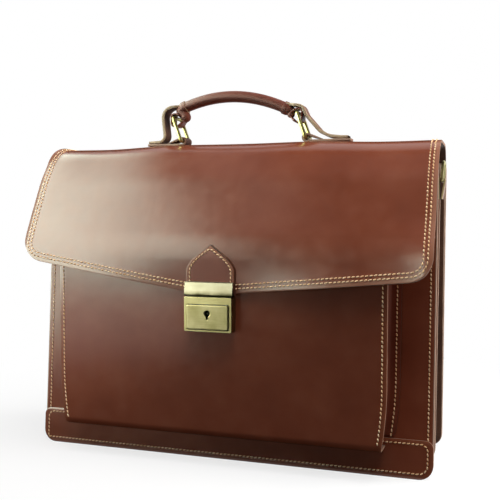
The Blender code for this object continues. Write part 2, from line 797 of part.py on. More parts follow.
def wire_ring(name, path, wire, pivot, tilt, finish):
    """A ring that stands across X on its lower bar and leans by tilt towards +X."""
    points = np.stack([sin(tilt) * path[:, 1], path[:, 0], cos(tilt) * path[:, 1]], -1)
    ring = tube(name, points, wire, finish, sides=2, closed=True)
    ring.location = pivot
    return ring


def base_outline(name):
    """Side view of a base tab drawn as the right one: a strap turned over the ring's lower bar."""
    x = HANDLE_SPAN / 2
    z = bar_height()
    floor = FLAP_TOP + GAP
    round_end = RING_WIRE + GAP + STRAP_THICKNESS
    turns = np.radians(np.linspace(75, 270, 12))
    loop = np.stack([x + round_end * np.cos(turns), z + round_end * np.sin(turns)], -1)
    tail = x + BASE_LENGTH[name]
    strap = [
        (tail, floor),
        (tail, floor + STRAP_THICKNESS),
        (x + BASE_FOLD, floor + STRAP_THICKNESS),
    ]
    return np.concatenate([strap, loop])


def slot_outline(x, z, radius, rise):
    """A hole of this radius, drawn out upwards by rise."""
    upper = np.radians(np.linspace(0, 180, 9))
    lower = upper + pi
    top = np.stack([x + radius * np.cos(upper), z + rise + radius * np.sin(upper)], -1)
    low = np.stack([x + radius * np.cos(lower), z + radius * np.sin(lower)], -1)
    return np.concatenate([top, low])


def grip_line(count):
    """The grip's centre line in (x, z), a shallow arch that is highest a little to the left."""
    half = HANDLE_SPAN / 2
    x = np.linspace(GRIP_INSET["left"] - half, half - GRIP_INSET["right"], count)
    top = top_bar_height() + GRIP_RISE
    return np.stack([x, top - GRIP_BOW * (x - GRIP_APEX) ** 2], -1)


def grip_end(hand):
    """A grip end drawn as the right one: its middle, the way it points and the way up from it."""
    line = grip_line(41)[::hand] * np.array([hand, 1])
    course = (line[-1] - line[-2]) / np.linalg.norm(line[-1] - line[-2])
    return line[-1], course, np.array([-course[1], course[0]])


def ring_play():
    """How far the ring's top rises between its two leaning positions."""
    return RING_HEIGHT * (1 - cos(HANDLE_LEAN))


def loop_hole():
    """Z of the middles of the two arcs that close an end loop's hole."""
    top = top_bar_height() + ring_play() + RING_WIRE + GAP
    return top - LOOP_HOLE_RADIUS, top - LOOP_HOLE_HEIGHT + LOOP_HOLE_RADIUS


def loop_outline(hand):
    """Side view of an end loop drawn as the right one: from the grip's end round the ring's bar."""
    end, course, above = grip_end(hand)
    start = end + course * GAP
    high, low = loop_hole()
    reach = LOOP_HOLE_RADIUS + LOOP_WALL
    x = HANDLE_SPAN / 2
    over = np.radians(np.linspace(80, 0, 5))
    under = np.radians(np.linspace(0, -170, 9))
    upper = np.stack([x + reach * np.cos(over), high + reach * np.sin(over)], -1)
    lower = np.stack([x + reach * np.cos(under), low + reach * np.sin(under)], -1)
    neck = GRIP_RADIUS - STRAP_THICKNESS - GAP
    return np.concatenate([[start + above * neck], upper, lower, [start - above * LOOP_NECK]])


def strap_path(hand, name):
    """Middle line, in (x, z), of a strap from the grip over the ring to the base tab."""
    half = STRAP_THICKNESS / 2
    foot = FLAP_TOP + GAP + STRAP_THICKNESS + GAP + half
    roof = loop_hole()[0] + LOOP_HOLE_RADIUS + LOOP_WALL + GAP + half
    end, course, above = grip_end(hand)
    start = end + course * half + above * (GRIP_RADIUS - half)
    anchor = HANDLE_X + hand * HANDLE_SPAN / 2
    bar = hand * HANDLE_SPAN / 2 + handle_x()
    corners = [(hand * start[0] + handle_x(), start[1], 0)]
    corners += [(bar + hand * out, roof + up, radius) for out, up, radius in STRAP_TOP[name]]
    corners += [(anchor + hand * out, foot + up, radius) for out, up, radius in STRAP_FOOT[name]]
    corners += [(anchor + hand * (BASE_LENGTH[name] - STRAP_SHORTER), foot, 0)]
    corners = np.array(corners)
    return rounded(corners[:, :2], corners[:, 2], steps=4)


def build_handle(leather, edge_leather, brass, core_finish, board):
    """Grip, core, loops, straps, rings and base tabs, in the order they stack up."""
    offset = handle_x()
    y = HANDLE_Y
    line = grip_line(15)
    points = np.stack([line[:, 0] + offset, np.full(len(line), y), line[:, 1]], -1)
    grip = tube("handle_grip", points, GRIP_RADIUS, leather, sides=3, caps=False)
    wall = grip.modifiers.new("wall", "SOLIDIFY")
    wall.thickness = GRIP_WALL
    wall.offset = -1
    core_radius = GRIP_RADIUS - GRIP_WALL - GAP
    tube("handle_core", points[1:-1], core_radius, core_finish, sides=1)
    high, low = loop_hole()
    hole = slot_outline(HANDLE_SPAN / 2, low, LOOP_HOLE_RADIUS, high - low)
    base_hole = slot_outline(HANDLE_SPAN / 2, bar_height(), RING_WIRE + GAP, 0)
    for hand, name in ((1, "right"), (-1, "left")):
        turn = np.array([hand, 1])
        shift = np.array([offset, 0])
        shapes = [loop_outline(hand) * turn + shift, hole * turn + shift]
        flat_plate(f"handle_loop_{name}", shapes, STRAP_WIDTH, upright(y), edge_leather)
        shift = np.array([HANDLE_X, 0])
        shapes = [base_outline(name) * turn + shift, base_hole * turn + shift]
        flat_plate(f"handle_base_{name}", shapes, BASE_WIDTH, upright(y), edge_leather)
        path = strap_path(hand, name)
        across = y + np.array([-0.5, 0, 0.5]) * STRAP_WIDTH
        grid = np.empty((len(path), 3, 3))
        grid[..., 0] = path[:, :1]
        grid[..., 1] = across
        grid[..., 2] = path[:, 1:]
        strap = sheet(f"handle_strap_{name}", grid, STRAP_THICKNESS, edge_leather)
        strap.modifiers["wall"].offset = 0
        pivot = (HANDLE_X + hand * HANDLE_SPAN / 2, y, bar_height())
        path = ring_path(RING_WIDTH, RING_HEIGHT, RING_CORNER)
        wire_ring(f"handle_ring_{name}", path, RING_WIRE, pivot, -HANDLE_LEAN, brass)
    line = flap_path()
    lengths = lengths_of(line)
    above = (lengths > FLAP_TOP - LOCK_BOTTOM) & (line[:, 1] > FLAP_TOP - 1e-6)
    middle = np.interp(y, line[above][:, 0], lengths[above])
    along = middle + np.linspace(-0.5, 0.5, 3)[:, None] * STIFFENER_DEPTH
    across = np.linspace(-0.5, 0.5, 7) * STIFFENER_WIDTH
    grid = on_flap(along + 0 * across, across, -FLAP_THICKNESS - 2 * GAP)
    sheet("flap_stiffener", grid, STIFFENER_THICKNESS, board)


# Side rings


def side_pivot():
    """The side ring's lower bar: X off the divider's edge, Y on its middle plane, and Z."""
    z = BODY_HEIGHT - SIDE_RING_BELOW_TOP + DIVIDER_RISE
    x = HALF - DIVIDER_INSET + GAP + SIDE_RING_WIRE + GAP + SIDE_TAB_LEATHER
    return x, divider_face(z) + PANEL_THICKNESS / 2, z


def build_side_rings(edge_leather, brass):
    x, y, z = side_pivot()
    round_end = SIDE_RING_WIRE + GAP + SIDE_TAB_LEATHER
    turns = np.radians(np.linspace(0, 180, 11))
    loop = np.stack([x + round_end * np.cos(turns), z + round_end * np.sin(turns)], -1)
    low = z - SIDE_TAB_LENGTH
    outline = np.concatenate([loop, [(x - round_end, low), (x + round_end / 4, low)]])
    hole = slot_outline(x, z, SIDE_RING_WIRE + GAP, 0)
    path = ring_path(SIDE_RING_WIDTH, SIDE_RING_HEIGHT, RING_CORNER)
    for hand, name in ((1, "right"), (-1, "left")):
        turn = np.array([hand, 1])
        shapes = [outline * turn, hole * turn]
        flat_plate(f"side_tab_{name}", shapes, SIDE_TAB_WIDTH, upright(y), edge_leather)
        tilt = hand * SIDE_RING_TILT
        wire_ring(f"side_ring_{name}", path, SIDE_RING_WIRE, (hand * x, y, z), tilt, brass)


# The briefcase


def clear_scene():
    for made in list(bpy.data.objects):
        bpy.data.objects.remove(made)


def build():
    clear_scene()
    scene = bpy.context.scene.collection
    SHAPES["parts"] = collection("leather_briefcase", scene)
    SHAPES["cutters"] = collection("cutters", scene)
    leather = material("chestnut leather", (0.19, 0.062, 0.035), 0.3)
    lining = material("gusset leather", (0.10, 0.032, 0.020), 0.4)
    edge_leather = material("tan strap leather", (0.30, 0.15, 0.08), 0.45)
    brass = material("antique brass", (0.55, 0.50, 0.26), 0.3, 1.0)
    steel = material("spring steel", (0.45, 0.45, 0.45), 0.35, 1.0)
    core = material("cotton cord", (0.55, 0.48, 0.38), 0.9)
    board = material("fibre board", (0.22, 0.16, 0.11), 0.8)
    build_panels(leather)
    build_gussets(lining)
    build_pocket(leather)
    build_flap(leather)
    build_lock_tab(leather)
    build_lock_case(brass)
    build_push_plate(brass)
    build_lock_insides(brass, steel)
    build_hasp(brass)
    build_handle(leather, edge_leather, brass, core, board)
    build_side_rings(edge_leather, brass)


build()
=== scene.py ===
import json
import math

import bpy
import numpy as np
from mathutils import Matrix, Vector

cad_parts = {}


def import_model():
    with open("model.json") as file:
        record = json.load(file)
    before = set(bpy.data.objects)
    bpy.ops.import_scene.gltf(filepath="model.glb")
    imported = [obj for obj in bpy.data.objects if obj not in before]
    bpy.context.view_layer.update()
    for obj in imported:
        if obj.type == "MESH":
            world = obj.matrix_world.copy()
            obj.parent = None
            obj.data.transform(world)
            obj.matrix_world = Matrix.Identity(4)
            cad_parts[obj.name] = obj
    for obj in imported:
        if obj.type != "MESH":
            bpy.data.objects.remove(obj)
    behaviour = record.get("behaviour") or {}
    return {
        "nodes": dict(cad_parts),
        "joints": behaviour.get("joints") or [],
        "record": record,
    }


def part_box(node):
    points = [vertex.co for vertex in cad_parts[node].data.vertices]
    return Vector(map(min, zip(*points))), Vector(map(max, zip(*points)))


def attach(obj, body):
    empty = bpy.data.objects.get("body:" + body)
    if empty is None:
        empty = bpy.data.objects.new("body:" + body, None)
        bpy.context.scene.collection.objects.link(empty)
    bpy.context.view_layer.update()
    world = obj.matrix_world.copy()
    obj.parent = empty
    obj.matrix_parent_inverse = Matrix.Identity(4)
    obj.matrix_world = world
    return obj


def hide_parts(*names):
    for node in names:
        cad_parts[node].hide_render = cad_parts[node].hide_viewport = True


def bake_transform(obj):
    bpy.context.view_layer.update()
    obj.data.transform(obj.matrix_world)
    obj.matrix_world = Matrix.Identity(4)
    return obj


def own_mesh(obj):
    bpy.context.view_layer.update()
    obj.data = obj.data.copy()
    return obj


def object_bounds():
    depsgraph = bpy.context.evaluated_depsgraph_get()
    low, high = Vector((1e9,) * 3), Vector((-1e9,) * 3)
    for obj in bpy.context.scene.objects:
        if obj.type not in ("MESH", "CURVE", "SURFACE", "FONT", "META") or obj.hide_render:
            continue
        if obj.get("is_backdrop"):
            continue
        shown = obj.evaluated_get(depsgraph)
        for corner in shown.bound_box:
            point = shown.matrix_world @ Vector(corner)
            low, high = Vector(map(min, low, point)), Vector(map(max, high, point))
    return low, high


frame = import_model()
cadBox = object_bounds()
print("frame loaded:", len(frame["nodes"]), "nodes")

clearance = 0.0003  # between pieces that touch
lineStep = 0.0008  # between the points of a finely divided line
leastGap = 0.0002  # smallest value of an edge map; zero means that a piece has no map


def boxOf(node):
    return [np.array(end, float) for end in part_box(node)]


def settle(piece, body, node=None):
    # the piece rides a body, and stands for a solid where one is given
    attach(piece, body)
    if node:
        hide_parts(node)


def unit(vectors):
    return vectors / np.linalg.norm(vectors, axis=-1, keepdims=True)


def roundedPath(corners, radii, steps=8):
    # straight runs between the corners, each corner cut by a circular arc of its radius; the
    # first and the last corner of an open path have none
    corners, path = np.array(corners, float), []
    share = np.linspace(0, 1, steps + 1)[:, None]
    for i, (here, radius) in enumerate(zip(corners, radii)):
        if radius == 0:
            path.append(here[None])
            continue
        before, after = corners[i - 1] - here, corners[(i + 1) % len(corners)] - here
        room = min(np.linalg.norm(before), np.linalg.norm(after)) * 0.49
        before, after = unit(before), unit(after)
        half = np.arccos(np.clip(before @ after, -1, 1)) / 2
        reach = min(radius / np.tan(half), room)
        centre = here + unit(before + after) * reach / np.cos(half)
        turn = np.pi - 2 * half
        start, end = here + before * reach - centre, here + after * reach - centre
        arc = start * np.sin(turn * (1 - share)) + end * np.sin(turn * share)
        path.append(centre + arc / np.sin(turn))
    return np.concatenate(path)


def lengthsAlong(path):
    return np.concatenate([[0], np.cumsum(np.linalg.norm(np.diff(path, axis=0), axis=1))])


def pointsAt(path, distances, lengths=None):
    lengths = lengthsAlong(path) if lengths is None else lengths
    return stacked(*[np.interp(distances, lengths, column) for column in path.T])


def evenly(path, spacing=lineStep):
    # the same path with its points the given distance apart
    total = lengthsAlong(path)[-1]
    return pointsAt(path, np.linspace(0, total, max(2, int(round(total / spacing)) + 1)))


def stacked(*columns):
    # points from their coordinates, each of them a number or an array
    return np.stack(np.broadcast_arrays(*columns), -1)


def allRound(count):
    # as many angles in equal steps of a full turn
    return np.linspace(0, 2 * np.pi, count, endpoint=False)


def smoothStep(value, low, high):
    share = np.clip((value - low) / (high - low), 0, 1)
    return share * share * (3 - 2 * share)


def spaced(low, high, rows):
    # rows of equal steps between two edges
    return low + (high - low) * np.linspace(0, 1, rows)[:, None]


def cornerColumns(half, radius, plain=30, steps=8):
    # x from -half to half, in equal steps of the angle round each corner arc
    arc = half - radius * (1 - np.sin(np.linspace(0, np.pi / 2, steps + 1)))
    side = np.concatenate([np.linspace(0, half - radius, plain + 1)[:-1], arc])
    return np.concatenate([-side[:0:-1], side])


def cornerLift(x, half, radius):
    # height of a corner arc of this radius above the straight edge that it ends
    over = np.clip(np.abs(x) - (half - radius), 0, radius)
    return radius - np.sqrt(np.maximum(radius**2 - over**2, 0))


def insideCorner(side, end, radius):
    # distance to the nearest of two square edges whose corner is rounded by radius
    near = (side < radius) & (end < radius)
    return np.where(near, radius - np.hypot(radius - side, radius - end), np.minimum(side, end))


def meshPiece(name, vertices, faces, materials, uv=None, attributes=None, faceMaterial=None):
    mesh = bpy.data.meshes.new(name)
    faces = faces if isinstance(faces, list) else faces.tolist()
    mesh.from_pydata(vertices.reshape(-1, 3).tolist(), [], faces)
    for material in materials:
        mesh.materials.append(material)
    if faceMaterial is not None:
        mesh.polygons.foreach_set("material_index", np.asarray(faceMaterial, np.int32))
    if uv is not None:
        loops = np.zeros(len(mesh.loops), np.int32)
        mesh.loops.foreach_get("vertex_index", loops)
        layer = mesh.uv_layers.new(name="surface")
        layer.data.foreach_set("uv", uv.reshape(-1, 2)[loops].astype(np.float32).ravel())
    for key, values in (attributes or {}).items():
        layer = mesh.attributes.new(key, "FLOAT", "POINT")
        layer.data.foreach_set("value", np.maximum(values, leastGap).astype(np.float32).ravel())
    mesh.shade_smooth()
    mesh.update()
    piece = bpy.data.objects.new(name, mesh)
    bpy.context.scene.collection.objects.link(piece)
    return piece


def gridFaces(rows, columns, closedRows=False, closedColumns=False, flip=False):
    index = np.arange(rows * columns).reshape(rows, columns)
    if closedRows:
        index = np.concatenate([index, index[:1]])
    if closedColumns:
        index = np.concatenate([index, index[:, :1]], 1)
    quads = stacked(index[:-1, :-1], index[:-1, 1:], index[1:, 1:], index[1:, :-1])
    quads = quads.reshape(-1, 4)
    return quads[:, ::-1] if flip else quads


def gridPiece(name, grid, materials, uv=None, flip=False, attributes=None):
    # a surface over a grid of points in two parameters; its map is in metres unless given
    rows, columns = grid.shape[:2]
    if uv is None:
        across = np.linalg.norm(np.diff(grid, axis=1), axis=-1)
        along = np.linalg.norm(np.diff(grid, axis=0), axis=-1)
        u = np.concatenate([np.zeros((rows, 1)), np.cumsum(across, 1)], 1)
        v = np.concatenate([np.zeros((1, columns)), np.cumsum(along, 0)], 0)
        uv = stacked(u - u[:, columns // 2, None], v)
    return meshPiece(name, grid, gridFaces(rows, columns, flip=flip), materials, uv, attributes)


def giveWall(piece, thickness, arris=0.0005, smoothing=0):
    # the cut leather: a wall behind the face, a raw edge in the second material, its arris rounded
    if smoothing:
        soften = piece.modifiers.new("soft folds", "SUBSURF")
        soften.levels = soften.render_levels = smoothing
    wall = piece.modifiers.new("wall", "SOLIDIFY")
    wall.thickness = thickness
    wall.offset = -1
    wall.use_even_offset = True
    wall.material_offset_rim = 1
    wall.material_offset = 2 if len(piece.data.materials) > 2 else 0
    if arris:
        bevel = piece.modifiers.new("worn arris", "BEVEL")
        bevel.width = arris
        bevel.segments = 2
        bevel.limit_method = "ANGLE"
        bevel.angle_limit = math.radians(55)
        bevel.harden_normals = False


def closedLoft(name, rings, materials):
    # rings of equal count skinned one after the other, the first and last closed by a fan
    rows, columns = rings.shape[:2]
    vertices = np.concatenate([rings.reshape(-1, 3), [rings[0].mean(0), rings[-1].mean(0)]])
    faces = gridFaces(rows, columns, closedColumns=True, flip=True).tolist()
    first, middle = np.arange(columns), np.full(columns, rows * columns)
    last = first + (rows - 1) * columns
    faces += stacked(first, np.roll(first, -1), middle).tolist()
    faces += stacked(np.roll(last, -1), last, middle + 1).tolist()
    return meshPiece(name, vertices, faces, materials)


def ringsRound(path, radius, turn, up=(0, 1, 0), closed=False, stretch=1.0):
    # a circle of this radius carried along the path, stretched along the direction held as up
    course = np.roll(path, -1, 0) - np.roll(path, 1, 0) if closed else np.gradient(path, axis=0)
    course = unit(course)
    side = unit(np.cross(course, np.broadcast_to(np.array(up, float), course.shape)))
    above = np.cross(side, course) * stretch
    radius = np.broadcast_to(np.asarray(radius, float), (len(path),))
    circle = side[:, None] * np.cos(turn)[:, None] + above[:, None] * np.sin(turn)[:, None]
    return path[:, None] + radius[:, None, None] * circle


def wirePiece(name, path, radius, material, up=(0, 1, 0), closed=True, sides=14):
    grid = ringsRound(path, radius, allRound(sides), up, closed)
    if not closed:
        return closedLoft(name, grid, [material])
    return meshPiece(name, grid, gridFaces(len(path), sides, True, True, True), [material])


stitch = {"pitch": 0.0039, "length": 0.0031, "thread": 0.00064, "slant": 14, "sink": 0.00014}


def stitchRow(points, normals, start=0.5, pitch=stitch["pitch"]):
    # thread at s and turn t: x = s L/2, radius r sqrt(1 - s^4), lifted in an arch r (1 - s^2);
    # each copy is set on the row by its course, its side and the leather's normal
    lengths = lengthsAlong(points)
    count = max(1, int(lengths[-1] / pitch))
    places = (np.arange(count) + start) * lengths[-1] / count
    places = places[places < lengths[-1]]
    centre = pointsAt(points, places)
    half, thread = stitch["length"] / 2, stitch["thread"]
    ahead = pointsAt(points, np.minimum(places + half, lengths[-1]))
    course = unit(ahead - pointsAt(points, np.maximum(places - half, 0)))
    normal = pointsAt(normals, places, lengths)
    normal = unit(normal - course * np.sum(normal * course, 1, keepdims=True))
    angle = math.radians(stitch["slant"])
    s = np.array([-1, -0.8, -0.35, 0.35, 0.8, 1])[:, None]
    t = allRound(6)[None]
    thick = thread * np.sqrt(np.maximum(1 - s**4, 0.02))
    x, y = s * half, thick * np.cos(t)
    z = thick * np.sin(t) * 0.8 + thread * (1 - s**2) - stitch["sink"]
    x, y = x * math.cos(angle) - y * math.sin(angle), x * math.sin(angle) + y * math.cos(angle)
    shape = stacked(x, y, z).reshape(-1, 3)
    basis = np.stack([course, np.cross(normal, course), normal], 1)
    vertices = centre[:, None] + np.einsum("vk,nkc->nvc", shape, basis)
    quads = gridFaces(len(s), t.shape[1], closedColumns=True, flip=True)
    faces = quads[None] + (np.arange(len(centre)) * len(shape))[:, None, None]
    return vertices.reshape(-1, 3), faces.reshape(-1, 4)


def rowOn(line, face, out):
    # a stitch row through (x, z) points carried to an upright face
    line = evenly(np.array(line, float))
    points = stacked(line[:, 0], face(line[:, 1]), line[:, 1])
    return stitchRow(points, np.tile([0.0, out, 0.0], (len(points), 1)))


def stitchPiece(name, rows):
    starts = np.cumsum([0] + [len(points) for points, quads in rows])
    faces = np.concatenate([quads + start for (points, quads), start in zip(rows, starts)])
    return meshPiece(name, np.concatenate([points for points, quads in rows]), faces, [thread])


def linear(code):
    # sRGB hex to a linear colour
    values = [int(code[i : i + 2], 16) / 255 for i in (1, 3, 5)]
    values = [v / 12.92 if v <= 0.04045 else ((v + 0.055) / 1.055) ** 2.4 for v in values]
    return (*values, 1)


def setInputs(tree, node, inputs):
    # inputs by name or in their order; one given as a socket is linked, any other is set
    for key, value in inputs.items() if isinstance(inputs, dict) else enumerate(inputs):
        if isinstance(value, bpy.types.NodeSocket):
            tree.links.new(value, node.inputs[key])
        else:
            node.inputs[key].default_value = value


def addNode(tree, kind, inputs=(), output=0, stops=(), **settings):
    # one node with its settings and links, given back as the output that is used; stops are the
    # places and colours of a ramp
    made = tree.nodes.new("ShaderNode" + kind)
    for key, value in settings.items():
        setattr(made, key, value)
    for k, (place, colour) in enumerate(stops):
        elements = made.color_ramp.elements
        stop = elements[k] if k < len(elements) else elements.new(place)
        stop.position, stop.color = place, linear(colour)
    setInputs(tree, made, inputs)
    return made.outputs[output] if made.outputs else made


def newMaterial(name):
    material = bpy.data.materials.new(name)
    material.use_nodes = True
    tree = material.node_tree
    return material, tree, tree.nodes["Principled BSDF"]


def dyed(deep, body, light, edge, **more):
    # the colours of one leather from its dark to its light patches, and of its burnished edge
    return {"deep": deep, "body": body, "light": light, "edge": edge, "grain": 0.0010, **more}


chestnut = dyed("#793c27", "#80412b", "#874831", "#94593f", rough=0.21, grain=0.0011)
flapBrown = {**chestnut, "edge": "#b08168", "edgeReach": 0.0072, "dullEdge": 0.12}
panelBrown = {**chestnut, "gloss": 0.30, "bevel": "#cdb19c"}
# the gusset leathers are darker than the body partly as painted shade, where they sit back between
# the panels and beside the pocket
pocketShadeBrown = dyed("#673222", "#733927", "#7c412d", "#733927", rough=0.40, gloss=0.16)
gussetShadeBrown = dyed("#4a1e14", "#552519", "#5f2c1e", "#7a4a35", rough=0.34)
tabBrown = dyed("#6b2e1d", "#733423", "#7c3c2a", "#8c5334", rough=0.36, gloss=0.32)
gripBrown = dyed("#622c1e", "#6d3424", "#783d2c", "#783d2c", rough=0.40, gloss=0.35, grain=0.0009)
strapBrown = dyed("#593322", "#683d2b", "#774a36", "#a98562", rough=0.40)


def vegetableTannedLeather(name, look, seams=()):
    # glazed vegetable-tanned cowhide: a clear gloss over mottled dye, with a fine stretched grain,
    # a paler burnished band at cut edges and a pressed channel under each stitch row
    material, tree, shader = newMaterial(name)
    place = addNode(tree, "UVMap", uv_map="surface")
    millimetres = addNode(tree, "Mapping", {"Vector": place, "Scale": (1000, 1000, 1000)})
    # dye takes unevenly over 30 to 60 mm, and in specks of about a millimetre
    mottle = addNode(tree, "TexNoise", {"Vector": millimetres, "Scale": 0.022, "Detail": 5})
    speck = addNode(tree, "TexNoise", {"Vector": millimetres, "Scale": 0.9, "Detail": 3})
    dye = addNode(tree, "Math", (speck, 0.18, mottle), operation="MULTIPLY_ADD")
    stops = [(0.38, look["deep"]), (0.58, look["body"]), (0.80, look["light"])]
    skin = addNode(tree, "ValToRGB", {"Fac": dye}, stops=stops)
    # the cut edge is burnished paler, and a pared arris shows the pale fibres
    rim = addNode(tree, "Attribute", output="Fac", attribute_name="edgeGap")
    mapped = addNode(tree, "Math", (rim, 0.00001), operation="GREATER_THAN")
    bands = {"edge": (0.0001, look.get("edgeReach", 0.0042), 0.55), "bevel": (0.0007, 0.0013, 0.85)}
    for key, (start, end, most) in bands.items():
        if key in look:
            ends = (rim, start, end, most, 0.0)
            band = addNode(tree, "MapRange", ends, interpolation_type="SMOOTHSTEP")
            band = addNode(tree, "Math", (band, mapped), operation="MULTIPLY")
            both = {0: band, 6: skin, 7: linear(look[key])}
            skin = addNode(tree, "Mix", both, output=2, data_type="RGBA")
    # grain pores are about 0.5 mm, stretched down the hide
    stretch = (1 / look["grain"], 0.45 / look["grain"], 1)
    stretched = addNode(tree, "Mapping", {"Vector": place, "Scale": stretch})
    grain = addNode(tree, "TexNoise", {"Vector": stretched, "Scale": 1.0, "Detail": 3})
    # and the glaze lies in slow waves about 10 mm long
    slow = addNode(tree, "TexNoise", {"Vector": millimetres, "Scale": 0.09, "Detail": 3})
    rough = addNode(tree, "MapRange", (slow, 0.3, 0.7, look["rough"] - 0.025, look["rough"] + 0.03))
    height = addNode(tree, "Math", (slow, 2.5, grain), operation="MULTIPLY_ADD")
    for gap in seams:
        # each stitch row lies in a channel about 1 mm wide
        channel = addNode(tree, "Math", (rim, gap, 0.0006), operation="COMPARE")
        height = addNode(tree, "Math", (channel, -3.0, height), operation="MULTIPLY_ADD")
    normal = addNode(tree, "Bump", {"Height": height, "Strength": 0.22, "Distance": 0.00012})
    gloss = look.get("gloss", 0.5)
    if "dullEdge" in look:
        # dressing at the cut edge has dulled the last few millimetres
        side = addNode(tree, "Attribute", output="Fac", attribute_name="sideGap")
        ends = (side, 0.0016, 0.0032, look["dullEdge"], 0.5)
        gloss = addNode(tree, "MapRange", ends, interpolation_type="SMOOTHSTEP")
    setInputs(tree, shader, {"Base Color": skin, "Roughness": rough, "Normal": normal})
    setInputs(tree, shader, {"IOR": 1.5, "Specular IOR Level": gloss})
    return material


def grainyFinish(name, fine, patches, share, stops, bump, **more):
    # a fine grain (scale and detail) between two colours over slower patches, raised by its bump
    # (strength and distance)
    material, tree, shader = newMaterial(name)
    place = addNode(tree, "TexCoord", output="Object")
    grain = addNode(tree, "TexNoise", {"Vector": place, "Scale": fine[0], "Detail": fine[1]})
    level = grain
    if patches:
        patch = {"Vector": place, "Scale": patches[0], "Detail": patches[1]}
        patch = addNode(tree, "TexNoise", patch)
        level = addNode(tree, "Math", (grain, share, patch), operation="MULTIPLY_ADD")
    colour = addNode(tree, "ValToRGB", {"Fac": level}, stops=stops)
    normal = addNode(tree, "Bump", {"Height": grain, "Strength": bump[0], "Distance": bump[1]})
    setInputs(tree, shader, {"Base Color": colour, "Normal": normal, **more})
    return material


def cutLeatherEdge(name, light, dark):
    # the cut side of the hide: tan fibres of 0.7 mm, a little darker where the dye has run in
    stops = [(0.45, dark), (0.95, light)]
    return grainyFinish(name, (1400, 4), (60, 3), 0.4, stops, (0.35, 0.0002), Roughness=0.62)


def fleshSide(name, light, dark):
    # the unglazed back of the hide: a short matt nap of about 1 mm
    stops, dull = [(0.5, dark), (1.0, light)], {"Roughness": 0.85, "Sheen Weight": 0.15}
    return grainyFinish(name, (900, 5), (30, 4), 0.5, stops, (0.4, 0.0002), **dull)


def waxedThread(name, light, dark):
    # waxed linen saddle thread: golden, with the lay of its twist every 0.6 mm
    stops = [(0.55, dark), (0.95, light)]
    return grainyFinish(name, (1800, 2), (150, 2), 0.5, stops, (0.5, 0.0002), Roughness=0.5)


def springSteel(name):
    # bright drawn steel with fine scratches of about 1.5 mm
    stops = [(0.3, "#8c8c88"), (0.7, "#b4b4b0")]
    return grainyFinish(
        name, (700, 4), None, 0, stops, (0.1, 0.0001), Metallic=1.0, Roughness=0.35
    )


def pressedBoard(name):
    # grey-brown bag board, pressed from fibre of about 2 mm
    stops = [(0.3, "#5c4a3a"), (0.7, "#8a745c")]
    return grainyFinish(name, (500, 6), None, 0, stops, (0.4, 0.0002), Roughness=0.85)


def cottonCord(name):
    # laid cotton rope, its strands about 1 mm apart
    material, tree, shader = newMaterial(name)
    place = addNode(tree, "TexCoord", output="Object")
    turned = {"Vector": place, "Rotation": (0, 0.7, 0), "Scale": (500, 500, 500)}
    strand = {"Vector": addNode(tree, "Mapping", turned), "Scale": 0.6, "Distortion": 1.5}
    strand = addNode(tree, "TexWave", strand, output=1)
    stops = [(0.1, "#9c8d72"), (0.9, "#d6cab0")]
    colour = addNode(tree, "ValToRGB", {"Fac": strand}, stops=stops)
    normal = addNode(tree, "Bump", {"Height": strand, "Strength": 0.6, "Distance": 0.0004})
    setInputs(tree, shader, {"Base Color": colour, "Normal": normal, "Roughness": 0.9})
    return material


def antiqueBrass(name, light, dark, rough, brushed=True, gathered=None):
    # antique-plated zinc casting: pale olive gold, darker where handling has not polished it, its
    # brushing drawn as hair lines along x, and darkened by painted shade towards the lower of two
    # heights when they are given
    material, tree, shader = newMaterial(name)
    place = addNode(tree, "TexCoord", output="Object")
    lay = (60, 900, 3000) if brushed else (400, 400, 400)
    lay = addNode(tree, "Mapping", {"Vector": place, "Scale": lay})
    hair = addNode(tree, "TexNoise", {"Vector": lay, "Scale": 1.0, "Detail": 3})
    patch = addNode(tree, "TexNoise", {"Vector": place, "Scale": 70, "Detail": 4})
    level = addNode(tree, "Math", (hair, 0.35, patch), operation="MULTIPLY_ADD")
    stops = [(0.45, dark), (0.85, light)]
    if gathered:
        # painted shade: up to 0.85 off the level below the first height, fading out by the second,
        # towards a near-black stop
        height = addNode(tree, "SeparateXYZ", {"Vector": place}, output="Z")
        shadeLevel = addNode(tree, "MapRange", (height, *gathered, -0.85, 0.0))
        level = addNode(tree, "Math", (level, shadeLevel), operation="ADD")
        stops = [(0.05, "#2b2714"), *stops]
    colour = addNode(tree, "ValToRGB", {"Fac": level}, stops=stops)
    spread = addNode(tree, "MapRange", (level, 0.4, 0.9, rough + 0.05, rough - 0.03))
    normal = addNode(tree, "Bump", {"Height": hair, "Strength": 0.12, "Distance": 0.0001})
    setInputs(tree, shader, {"Base Color": colour, "Roughness": spread, "Normal": normal})
    setInputs(tree, shader, {"Metallic": 1.0})
    return material


seamGaps = (0.0044, 0.0080)  # of the flap's two stitch rows from its edge
flapLeather = vegetableTannedLeather("vegetable-tanned leather, double seam", flapBrown, seamGaps)
bodyLeather = vegetableTannedLeather("vegetable-tanned leather, single seam", chestnut, (0.0042,))
panelLeather = vegetableTannedLeather("vegetable-tanned panel leather", panelBrown, (0.0042,))
